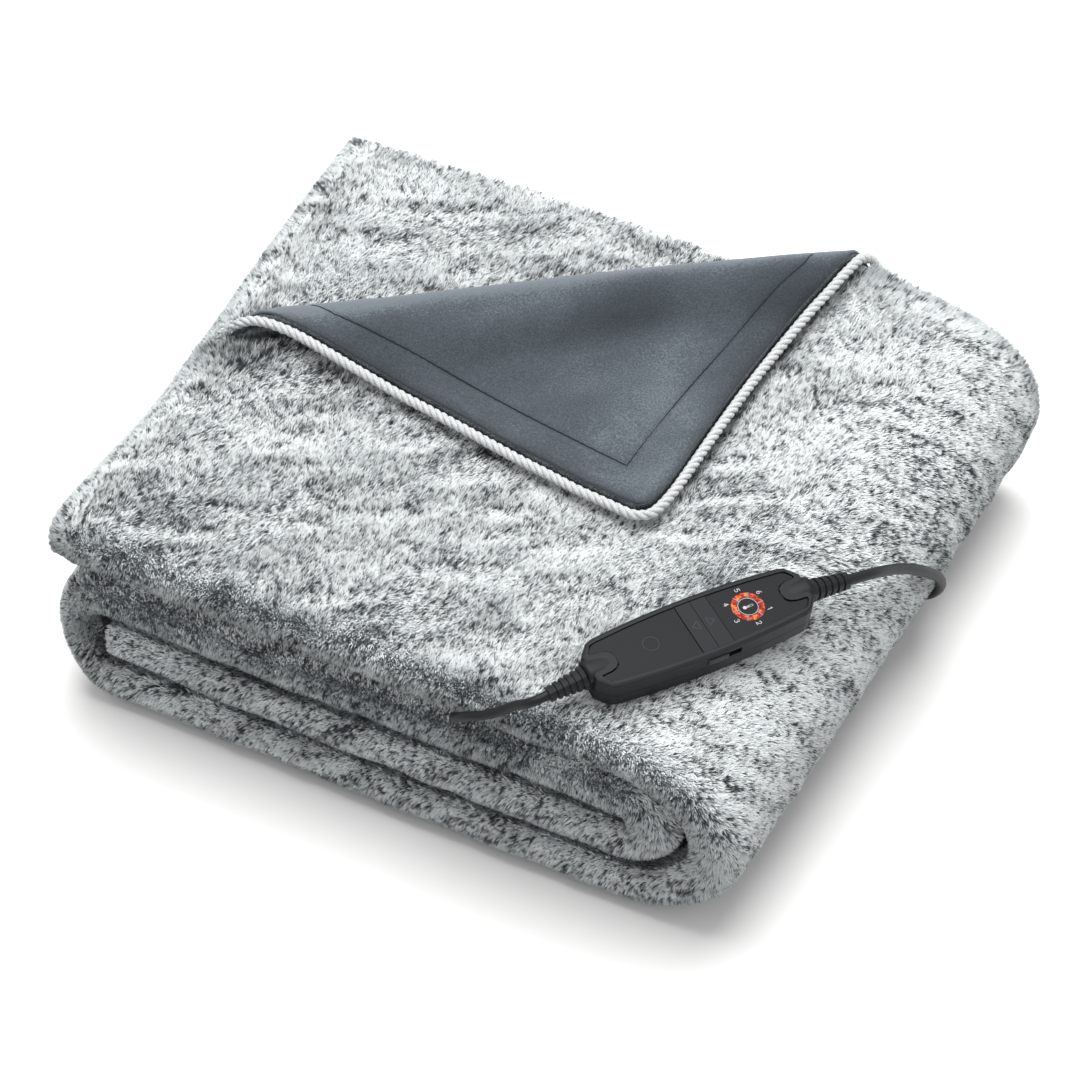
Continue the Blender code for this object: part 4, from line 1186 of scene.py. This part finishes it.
shown = CLOTH_EDGE[CLOTH_EDGE[:, 1] > -0.0010]
ahead_tq = np.gradient(shown, axis=0)
ahead_tq /= np.linalg.norm(ahead_tq, axis=1)[:, None]
stepped = shown + 0.001 * np.stack([-ahead_tq[:, 1], ahead_tq[:, 0]], axis=1)
turned_edge = outside(flap_edge(*shown.T), flap_edge(*stepped.T))
often = shown[:, 1] < 0.042
turned_edge = turned_edge[often | (np.arange(len(shown)) % 5 == 0)]
run, half = ROUTE[0][1], top_from + BACK_EDGE - FRONT_FOLD + ROPE_OFF
route_s = []
gone = 0.0
for k, (length, (kind, size)) in enumerate(zip(lengths(ROUTE), ROUTE, strict=True)):
    first = turned_edge[-1][0] + 0.018 - EDGE if k == 0 else 0.0
    count = max(2, round((length - first) / 0.08)) if kind == "run" else max(5, round(7 * size / 0.0615) + 2)
    route_s += list(gone + np.linspace(first, length, count, endpoint=False))
    gone += length
back_edge = cloth(np.array([*route_s, gone]), half, 0.0)
rope_route = np.vstack([free_end, turned_edge, uneven(back_edge)])


def rope_piece():
    """Three strands twisted round the piping's route."""
    line = smooth_line(rope_route, 0.0016) - MIDDLE
    end = (turned_edge[-1] + uneven(back_edge[:1])[0]) / 2 - MIDDLE
    hidden = np.exp(-((np.linalg.norm(line - end, axis=1) / 0.0125) ** 2))
    line = line - hidden[:, None] * np.array((0.0, 0.0035, 0.0030))
    thick = 1.0 - 0.55 * hidden
    ahead = unit(np.gradient(line, axis=0))
    side = np.zeros_like(line)
    up = np.array((0.0, 0.0, 1.0))
    frame_side = np.cross(ahead[0], up)
    if np.linalg.norm(frame_side) < 0.1:
        frame_side = np.cross(ahead[0], (1.0, 0.0, 0.0))
    for k, a in enumerate(ahead):
        frame_side = frame_side - a * (frame_side @ a)
        frame_side /= np.linalg.norm(frame_side)
        side[k] = frame_side
    other = np.cross(ahead, side)
    gone = np.append(0.0, np.cumsum(np.linalg.norm(np.diff(line, axis=0), axis=1)))
    pitch, strands, sides = 0.0165, 3, 7
    all_points, all_faces, uvs, base = [], [], [], 0
    for strand in range(strands):
        a = 2 * math.pi * (gone / pitch + strand / strands)
        out = np.cos(a)[:, None] * side + np.sin(a)[:, None] * other
        centre = line + 0.00175 * thick[:, None] * out
        d = unit(np.gradient(centre, axis=0))
        across = unit(np.cross(d, out))
        rise = np.cross(across, d)
        b = np.linspace(0.0, 2 * math.pi, sides, endpoint=False)
        ring = centre[:, None] + 0.00180 * thick[:, None, None] * (np.cos(b)[None, :, None] * rise[:, None] + np.sin(b)[None, :, None] * across[:, None])
        n, m = len(line), sides
        i, j = np.meshgrid(np.arange(n - 1), np.arange(m), indexing="ij")
        k = (j + 1) % m
        quads = np.stack([i * m + j, i * m + k, (i + 1) * m + k, (i + 1) * m + j], axis=-1).reshape(-1, 4)
        all_points.append(ring.reshape(-1, 3))
        all_faces.append(quads + base)
        base += n * m
    mesh = mesh_of("rope_piping", np.vstack(all_points), np.vstack(all_faces))
    mesh.materials.append(ROPE_YARN)
    obj = add("rope_twist", mesh)
    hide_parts("rope_piping")
    return obj


rope = rope_piece()

# --- the pile ------------------------------------------------------------------------------------------------------------
TOTAL_BLADES = 740000
PILE_HIGH = 0.0057
PILE_ROOT = 0.0024
CELL_S, CELL_U = 0.010, 0.008


def exposure():
    """How open each cell of the cloth's pile side is to the outside, from 0 to 1, and where it faces."""
    points, faces = [], []
    for name in ("fur_overblanket", "velour_lining"):
        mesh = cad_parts[name].data
        first = len(points)
        points += [tuple(v.co) for v in mesh.vertices]
        faces += [tuple(i + first for i in p.vertices) for p in mesh.polygons]
    tree = BVHTree.FromPolygons(points, faces)
    ns, nu = int(CLOTH_LONG / CELL_S), int(CLOTH_WIDE / CELL_U)
    s = (np.arange(ns) + 0.5) * CLOTH_LONG / ns
    u = (np.arange(nu) + 0.5) * CLOTH_WIDE / nu
    ss, uu = (g.ravel() for g in np.meshgrid(s, u, indexing="ij"))
    at = real(cloth(ss, uu, PLY / 2 + 0.0012))
    low = real(cloth(ss, uu, PLY / 2 - 0.0040))
    normal = unit(at - low)
    rng = np.random.default_rng(5)
    ways = unit(rng.normal(size=(14, 3)))
    open_share = np.zeros(len(ss))
    y = FRONT_FOLD + (uu - TOP_FROM)
    keep = (uu < TOP_FROM) | (y < y_end_at(ss) + 0.004)
    side_s = unit(real(cloth(ss + 0.002, uu, 0.0)) - real(cloth(ss - 0.002, uu, 0.0)))
    side_u = np.cross(normal, side_s)
    hemi = ways.copy()
    hemi[:, 2] = np.abs(hemi[:, 2]) + 0.15
    hemi = unit(hemi)
    for k in np.nonzero(keep)[0]:
        n, a, b, p = normal[k], side_s[k], side_u[k], at[k]
        hits = 0
        for h in hemi:
            way = a * h[0] + b * h[1] + n * h[2]
            if tree.ray_cast(p, way, 0.6)[0] is None:
                hits += 1
        open_share[k] = hits / len(hemi)
    return ns, nu, ss, uu, open_share, normal, at


NS, NU, CELLS_S, CELLS_U, OPEN, CELL_NORMAL, CELL_AT = exposure()
print("open cells", (OPEN > 0).sum(), "of", len(OPEN))


def painted_shade_of(cell):
    """How light the pile of a cell is painted: painted shade where it lies deep between the plies and where it faces
    sideways or down.
    """
    facing = np.clip((CELL_NORMAL[cell, 2] + 0.60) / 1.6, 0.0, 1.0)
    return ramp(OPEN[cell] / 0.55) * (0.46 + 0.54 * facing)


# Paints the pile's shade on to the backing as a point attribute; the turned-back corner's part gets an even painted
# shade.
def shade_backing():
    i = np.clip((BACKING_AT[:, 0] / CLOTH_LONG * NS).astype(int), 0, NS - 1)
    j = np.clip((BACKING_AT[:, 1] / CLOTH_WIDE * NU).astype(int), 0, NU - 1)
    value = np.full(len(base_mesh.vertices), 0.45, np.float32)
    value[: len(BACKING_AT)] = painted_shade_of(i * NU + j)
    layer = base_mesh.attributes.new("open", "FLOAT", "POINT")
    layer.data.foreach_set("value", value)


shade_backing()


def plane(x, y, turn, stretch):
    """Coordinates turned by an angle and drawn out along it."""
    c, s = math.cos(turn), math.sin(turn)
    return (x * c + y * s) / stretch, -x * s + y * c


def pile_points():
    facing_down = np.clip(-CELL_NORMAL[:, 2], 0.0, 1.0)
    weight = np.where(OPEN > 0.0, 0.35 + 0.65 * np.minimum(OPEN / 0.35, 1.0), 0.0)
    weight *= 1.0 - 0.85 * ramp((facing_down - 0.55) / 0.3)
    seen = CELL_NORMAL @ np.array(tuple(BACK))
    weight *= 0.55 + 0.45 * ramp((seen + 0.35) / 0.5)
    back = (CELLS_U > TOP_FROM) & (y_end_at(CELLS_S) > BACK_EDGE - 0.001) & (FRONT_FOLD + CELLS_U - TOP_FROM > BACK_EDGE - 0.020)
    weight *= 1.0 + 0.9 * ((CELLS_S < 0.020) | back)
    want = weight / weight.sum() * TOTAL_BLADES
    rng = np.random.default_rng(11)
    count = np.floor(want + rng.random(len(want))).astype(int)
    cell = np.repeat(np.arange(len(count)), count)
    first = np.repeat(np.cumsum(count) - count, count)
    k = np.arange(len(cell)) - first
    off = rng.random((len(count), 2))
    fs = (off[cell, 0] + k * 0.7548776662) % 1.0
    fu = (off[cell, 1] + k * 0.5698402910) % 1.0
    s = CELLS_S[cell] + (fs - 0.5) * CLOTH_LONG / NS
    u = CELLS_U[cell] + (fu - 0.5) * CLOTH_WIDE / NU
    return np.clip(s, 0.0006, CLOTH_LONG), np.clip(u, 0.0006, CLOTH_WIDE), painted_shade_of(cell)


def clumps(s, u, size, seed):
    """The nearest of the jittered grid's points, and a number of its own from 0 to 1."""
    rng = np.random.default_rng(seed)
    jitter = rng.random((512, 512, 3))
    i, j = np.floor(s / size).astype(int), np.floor(u / size).astype(int)
    best = np.full(len(s), 1e9)
    found = np.zeros((len(s), 3))
    for a in (-1, 0, 1):
        for b in (-1, 0, 1):
            cell = jitter[(i + a) & 511, (j + b) & 511]
            cs, cu = (i + a + cell[:, 0]) * size, (j + b + cell[:, 1]) * size
            far = (cs - s) ** 2 + (cu - u) ** 2
            nearer = far < best
            best = np.where(nearer, far, best)
            found[nearer] = np.stack([cs, cu, cell[:, 2]], axis=1)[nearer]
    return found


def pile_tone(s, u, group, painted_crest_shade, broad, shade, rng):
    """Which of the tones each blade has: mostly frosted, with short dark locks where the tips part, painted shade below
    the pile's wave crests, and darkened by the painted shade it is given.
    """
    n = len(s)
    tick_x, tick_y = plane(s, u, math.radians(-34), 2.2)
    ticks = noise(tick_x, tick_y, 0.00100, 8)
    tick_x, tick_y = plane(s, u, math.radians(52), 1.8)
    more = noise(tick_x, tick_y, 0.00120, 9)
    # Painted shade below the wave crests, mixed with broad random patches.
    crest_shade_and_patches = 0.72 * painted_crest_shade + 0.28 * (1.0 - broad)
    dark = 0.64 * np.maximum(ticks, more) + 0.30 * crest_shade_and_patches + 0.06 * rng.random(n)
    level = 1.0 - ramp((dark - 0.632) / 0.09)
    tone = 0.05 + 0.55 * level + 0.40 * level * (0.45 + 0.30 * group[:, 2] + 0.35 * rng.random(n))
    # Painted shade: the cell's shade darkens the tone.
    tone *= 0.10 + 0.90 * shade
    return np.clip((tone * TONES).astype(int), 0, TONES - 1)


def pile():
    s, u, shade = pile_points()
    y = FRONT_FOLD + (u - TOP_FROM)
    keep = (u < TOP_FROM) | (y < y_end_at(s) - 0.0005)
    s, u, shade = s[keep], u[keep], shade[keep]
    rng = np.random.default_rng(23)
    n = len(s)
    root = real(lifted(s, u, 0.0))
    rise = (real(lifted(s, u, 0.006)) - root) / 0.006
    step = 0.003
    along = (real(cloth(s + step, u, 0.003)) - real(cloth(s - step, u, 0.003))) / (2 * step)
    over = (real(cloth(s, u + step, 0.003)) - real(cloth(s, u - step, 0.003))) / (2 * step)
    # The nap's own field, in the cloth's two directions
    swirl = noise(s, u, 0.055, 1) - 0.5
    swirl2 = noise(s, u, 0.018, 2) - 0.5
    wave_x, wave_y = plane(s, u, math.radians(27), 3.4)
    wave_y = wave_y + 0.006 * swirl2 + 0.010 * swirl
    waves = noise(wave_x + 0.02 * swirl, wave_y, 0.0100, 3)
    # Painted shade: darker on the lower side of each wave crest of the pile.
    painted_crest_shade = 0.5 + 1.3 * (waves - noise(wave_x + 0.02 * swirl, wave_y - 0.0028, 0.0100, 3))
    painted_crest_shade = np.clip(painted_crest_shade, 0.0, 1.0)
    fine = noise(s, u, 0.0045, 4)
    broad = noise(s, u, 0.045, 6)
    group = clumps(s, u, 0.0022, 7)
    heading = math.radians(28) + 1.3 * swirl + 1.1 * swirl2 + 1.3 * (group[:, 2] - 0.5) + 0.5 * rng.normal(size=n)
    height = PILE_HIGH * (0.74 + 0.40 * waves + 0.10 * fine + 0.10 * rng.random(n))
    level_here = np.clip(unit(rise)[:, 2], 0.0, 1.0) ** 3
    lean = 0.0028 * (0.50 + 0.70 * rng.random(n) + 0.40 * (1 - waves)) * (0.45 + 0.55 * level_here)
    pull = 0.30 + 0.14 * broad
    toward = (group[:, :2] - np.stack([s, u], axis=1)) * pull[:, None]
    tip_s = np.cos(heading) * lean + toward[:, 0]
    tip_u = np.sin(heading) * lean + toward[:, 1]
    # Over the cloth's free edges it hangs out past the piping
    by_end = ramp(1.0 - s / 0.017)
    far = np.minimum(np.where(u > TOP_FROM, y_end_at(s) - (FRONT_FOLD + u - TOP_FROM), 1.0), u + 0.0)
    past_crease = (u > TOP_FROM) & (y_end_at(s) > BACK_EDGE - 0.0005)
    by_back = np.where(past_crease, ramp(1.0 - far / 0.017), 0.0)
    tip_s = tip_s * (1.0 - by_end) - by_end * (0.0080 + 0.0028 * rng.random(n)) * (1.0 - 0.5 * s / 0.017)
    tip_u = tip_u * (1.0 - by_back) + by_back * (0.0080 + 0.0028 * rng.random(n)) * (1.0 - 0.5 * far / 0.017)
    edge = np.maximum(by_end, by_back)
    height = height * (1.0 - 0.35 * edge)
    short = np.maximum(y_end_at(s) - (FRONT_FOLD + u - TOP_FROM), 0.0)
    near_tip = np.exp(-(((s - TIP_S - 0.004) / 0.026) ** 2)) * np.exp(-((short / 0.016) ** 2))
    near_tip += 0.8 * np.exp(-((s / 0.050) ** 2)) * np.exp(-((short / 0.018) ** 2))
    height = height * (1.0 + 0.9 * np.where(u > TOP_FROM, near_tip, 0.0))
    tip = root + rise * height[:, None] + along * tip_s[:, None] + over * tip_u[:, None]
    tip[:, 2] = np.maximum(tip[:, 2], 0.0006)
    root = root + rise * PILE_ROOT
    root[:, 2] = np.maximum(root[:, 2], 0.0004)
    # Pressed flat under the handset
    spot = tip @ TO_HANDSET[:3, :3].T + TO_HANDSET[:3, 3]
    spot_root = root @ TO_HANDSET[:3, :3].T + TO_HANDSET[:3, 3]
    under = (np.abs(spot[:, 0]) < 0.0790) & (np.abs(spot[:, 1]) < 0.0225) | (
        (np.abs(spot_root[:, 0]) < 0.0750) & (np.abs(spot_root[:, 1]) < 0.0210)
    )
    up = np.array(tuple(HANDSET_UP.normalized()))
    too_high = np.where(under, np.maximum(spot[:, 2] + 0.0004, 0.0), 0.0)
    tip = tip - too_high[:, None] * up
    # A narrow blade, its flat side towards the way it leans
    d = tip - root
    flat = unit(np.cross(rise, d))
    turn = 0.45 * rng.normal(size=n)
    width_way = unit(flat * np.cos(turn)[:, None] + unit(d) * 0.0 + unit(np.cross(unit(d), flat)) * np.sin(turn)[:, None])
    width = 0.00043 * (0.75 + 0.6 * rng.random(n)) * (1.0 + 0.45 * edge)
    a, b = root - width_way * width[:, None], root + width_way * width[:, None]
    # Painted shade: blades over the free edges and by the lifted ends of the crease are darker, where they lie open to
    # the full light.
    tone = pile_tone(s, u, group, painted_crest_shade, broad, shade * (1.0 - 0.42 * edge) * (1.0 - 0.30 * np.clip(near_tip, 0, 1) * (u > TOP_FROM)), rng)
    return np.stack([a, b, tip], axis=1), tone, root


def turned_pile():
    """The pile under the turned-back corner, where it shows along its edges and at the two ends of its bend, with
    painted shade from the corner above, lighter towards those ends and edges.
    """
    rng = np.random.default_rng(41)
    many = 40000
    t = CORNER_FROM - 0.001 + (FLAP_TO + 0.002 - CORNER_FROM) * rng.random(14 * many)
    q = -0.014 + 0.250 * rng.random(14 * many)
    order = np.argsort(CLOTH_EDGE[:, 0])
    q_end = np.interp(t, CLOTH_EDGE[order, 0], CLOTH_EDGE[order, 1])
    line = CLOTH_EDGE[::3]
    inside = (q < q_end - 0.0004) & (q_end > -0.001)
    t, q, q_end = t[inside], q[inside], q_end[inside]
    far = near_line(t, q, line)
    end = np.maximum(ramp(1.0 - (t - CORNER_FROM) / 0.030), ramp(1.0 - (FLAP_TO - t) / 0.034))
    wanted = (far < 0.007 + 0.014 * end) | (t < 0.105) | (t > FLAP_TO - 0.085)
    wanted &= rng.random(len(t)) < np.where(far < 0.016, 1.0, 0.55)
    t, q, far, end = t[wanted][:many], q[wanted][:many], far[wanted][:many], end[wanted][:many]
    n = len(t)
    near = np.argmin(np.hypot(t[:, None] - line[None, :, 0], q[:, None] - line[None, :, 1]), axis=1)
    way = unit(line[near] - np.stack([t, q], axis=1))
    side = np.where(t < 0.2, -1.0, 1.0)
    way = unit(way * (1.0 - end)[:, None] + end[:, None] * np.stack([side, np.full(n, 0.1)], axis=1))
    high = 0.0050 + 0.0032 * end + 0.0014 * rng.random(n)
    reach = 0.0016 + 0.0018 * rng.random(n) + end * (0.0050 + 0.0040 * rng.random(n)) * ramp(1.0 - far / 0.020)
    root = real(corner(t, q, 0.0004))
    rise = (real(corner(t, q, 0.0044)) - root) / 0.004
    base = root + rise * 0.0020
    step = 0.001
    along = (real(corner(t + step, q, 0.002)) - real(corner(t - step, q, 0.002))) / (2 * step)
    over = (real(corner(t, q + step, 0.002)) - real(corner(t, q - step, 0.002))) / (2 * step)
    wander = 0.0012 * rng.normal(size=(n, 2))
    tip = root + rise * high[:, None] + along * (way[:, 0] * reach + wander[:, 0])[:, None]
    tip = tip + over * (way[:, 1] * reach + wander[:, 1])[:, None]
    root = base
    d = tip - root
    flat = unit(np.cross(rise, d))
    turn = 0.6 * rng.normal(size=n)
    width_way = unit(flat * np.cos(turn)[:, None] + unit(np.cross(unit(d), flat)) * np.sin(turn)[:, None])
    width = 0.00050 * (0.75 + 0.6 * rng.random(n))
    a, b = root - width_way * width[:, None], root + width_way * width[:, None]
    locks = noise(t, q, 0.0013, 44)
    # Painted shade under the turned-back corner, lighter towards its two ends and its edges.
    shade = 0.34 + 0.58 * end * ramp(1.0 - far / 0.016)
    tone = (0.05 + 0.90 * (1.0 - ramp((locks - 0.62) / 0.15))) * shade * (0.75 + 0.35 * rng.random(n))
    return np.stack([a, b, tip], axis=1), np.clip((tone * TONES).astype(int), 0, TONES - 1), root


def end_fluff():
    """Short fibres that lie over the piping where it runs out of the pile at the two ends of the crease."""
    rng = np.random.default_rng(57)
    line = smooth_line(rope_route, 0.0016) - MIDDLE
    blades, tones, roots = [], [], []
    starts = (
        (real(corner(CORNER_FROM, 0.0060, 0.0))[0], 0.019, np.array((-0.45, -0.20, 0.35))),
        ((turned_edge[-1] + uneven(back_edge[:1])[0]) / 2 - MIDDLE, 0.015, np.array((0.25, 0.35, 0.45))),
    )
    for centre, size, lean in starts:
        share = np.exp(-((np.linalg.norm(line - centre, axis=1) / size) ** 2))
        at = line[share > 0.12]
        share = share[share > 0.12]
        n = 1800
        pick = rng.choice(len(at), n, p=share / share.sum())
        way = unit(rng.normal(size=(n, 3)) + np.array((0.0, 0.0, 0.35)))
        root = at[pick] + way * 0.0022
        d = unit(way + lean + 0.5 * rng.normal(size=(n, 3))) * (0.0030 + 0.0026 * rng.random(n))[:, None]
        side = unit(np.cross(d, rng.normal(size=(n, 3)))) * (0.00050 * (0.7 + 0.6 * rng.random(n)))[:, None]
        blades.append(np.stack([root - side, root + side, root + d], axis=1))
        tones.append(np.clip(((0.42 + 0.50 * rng.random(n)) * TONES).astype(int), 0, TONES - 1))
        roots.append(root)
    return np.concatenate(blades), np.concatenate(tones), np.concatenate(roots)


def pile_pieces():
    blades, tone, root = (np.concatenate(both) for both in zip(pile(), turned_pile(), end_fluff()))
    # By where they grow, so that no piece is large
    order = np.lexsort((root[:, 0],))
    pieces, most = [], 190000
    blades, tone = blades[order], tone[order]
    for number, start in enumerate(range(0, len(blades), most)):
        part, t = blades[start : start + most], tone[start : start + most]
        n = len(part)
        mesh = mesh_of(f"pile_{number}", part.reshape(-1, 3), np.arange(3 * n).reshape(n, 3), smooth=False)
        layer = mesh.uv_layers.new(name="OFBake")
        v = (t + 0.5) / TONES
        uv = np.zeros((n, 3, 2), np.float32)
        uv[:, 0] = np.stack([np.full(n, 0.004), v - 0.42 / TONES], axis=1)
        uv[:, 1] = np.stack([np.full(n, 0.004), v + 0.42 / TONES], axis=1)
        uv[:, 2] = np.stack([np.full(n, 0.996), v], axis=1)
        layer.data.foreach_set("uv", uv.ravel())
        mesh.materials.append(PILE)
        pieces.append(add(f"pile_{number}", mesh))
    print("blades", len(blades))
    return pieces


pile_objects = pile_pieces()


# --- the floor and the light -----------------------------------------------------------------------------------------------
def stage():
    mesh = bpy.data.meshes.new("floor")
    bm = bmesh.new()
    bmesh.ops.create_grid(bm, x_segments=1, y_segments=1, size=30.0)
    bm.to_mesh(mesh)
    bm.free()
    floor = bpy.data.objects.new("floor", mesh)
    bpy.context.scene.collection.objects.link(floor)
    n = Nodes("floor_paint")
    n.set(Base_Color=(0.92, 0.913, 0.908, 1.0), Roughness=0.9, Specular_IOR_Level=0.0)
    mesh.materials.append(n.material)


def light(name, direction, distance, size, energy, colour=(1.0, 1.0, 1.0)):
    data = bpy.data.lights.new(name, "AREA")
    data.shape, data.size, data.energy, data.color = "DISK", size, energy, colour
    obj = bpy.data.objects.new(name, data)
    bpy.context.scene.collection.objects.link(obj)
    way = Vector(direction).normalized()
    obj.location = way * distance + Vector((0.0, 0.0, 0.08))
    obj.rotation_mode = "QUATERNION"
    obj.rotation_quaternion = way.to_track_quat("Z", "Y")
    return obj


stage()
light("key", (-0.07, 0.16, 0.98), 2.6, 2.3, 90.0)
world = bpy.data.worlds.new("studio")
bpy.context.scene.world = world
world.use_nodes = True
world.node_tree.nodes["Background"].inputs["Color"].default_value = (1.0, 1.0, 1.0, 1.0)
world.node_tree.nodes["Background"].inputs["Strength"].default_value = 0.70
bpy.context.scene.view_settings.view_transform = "Standard"
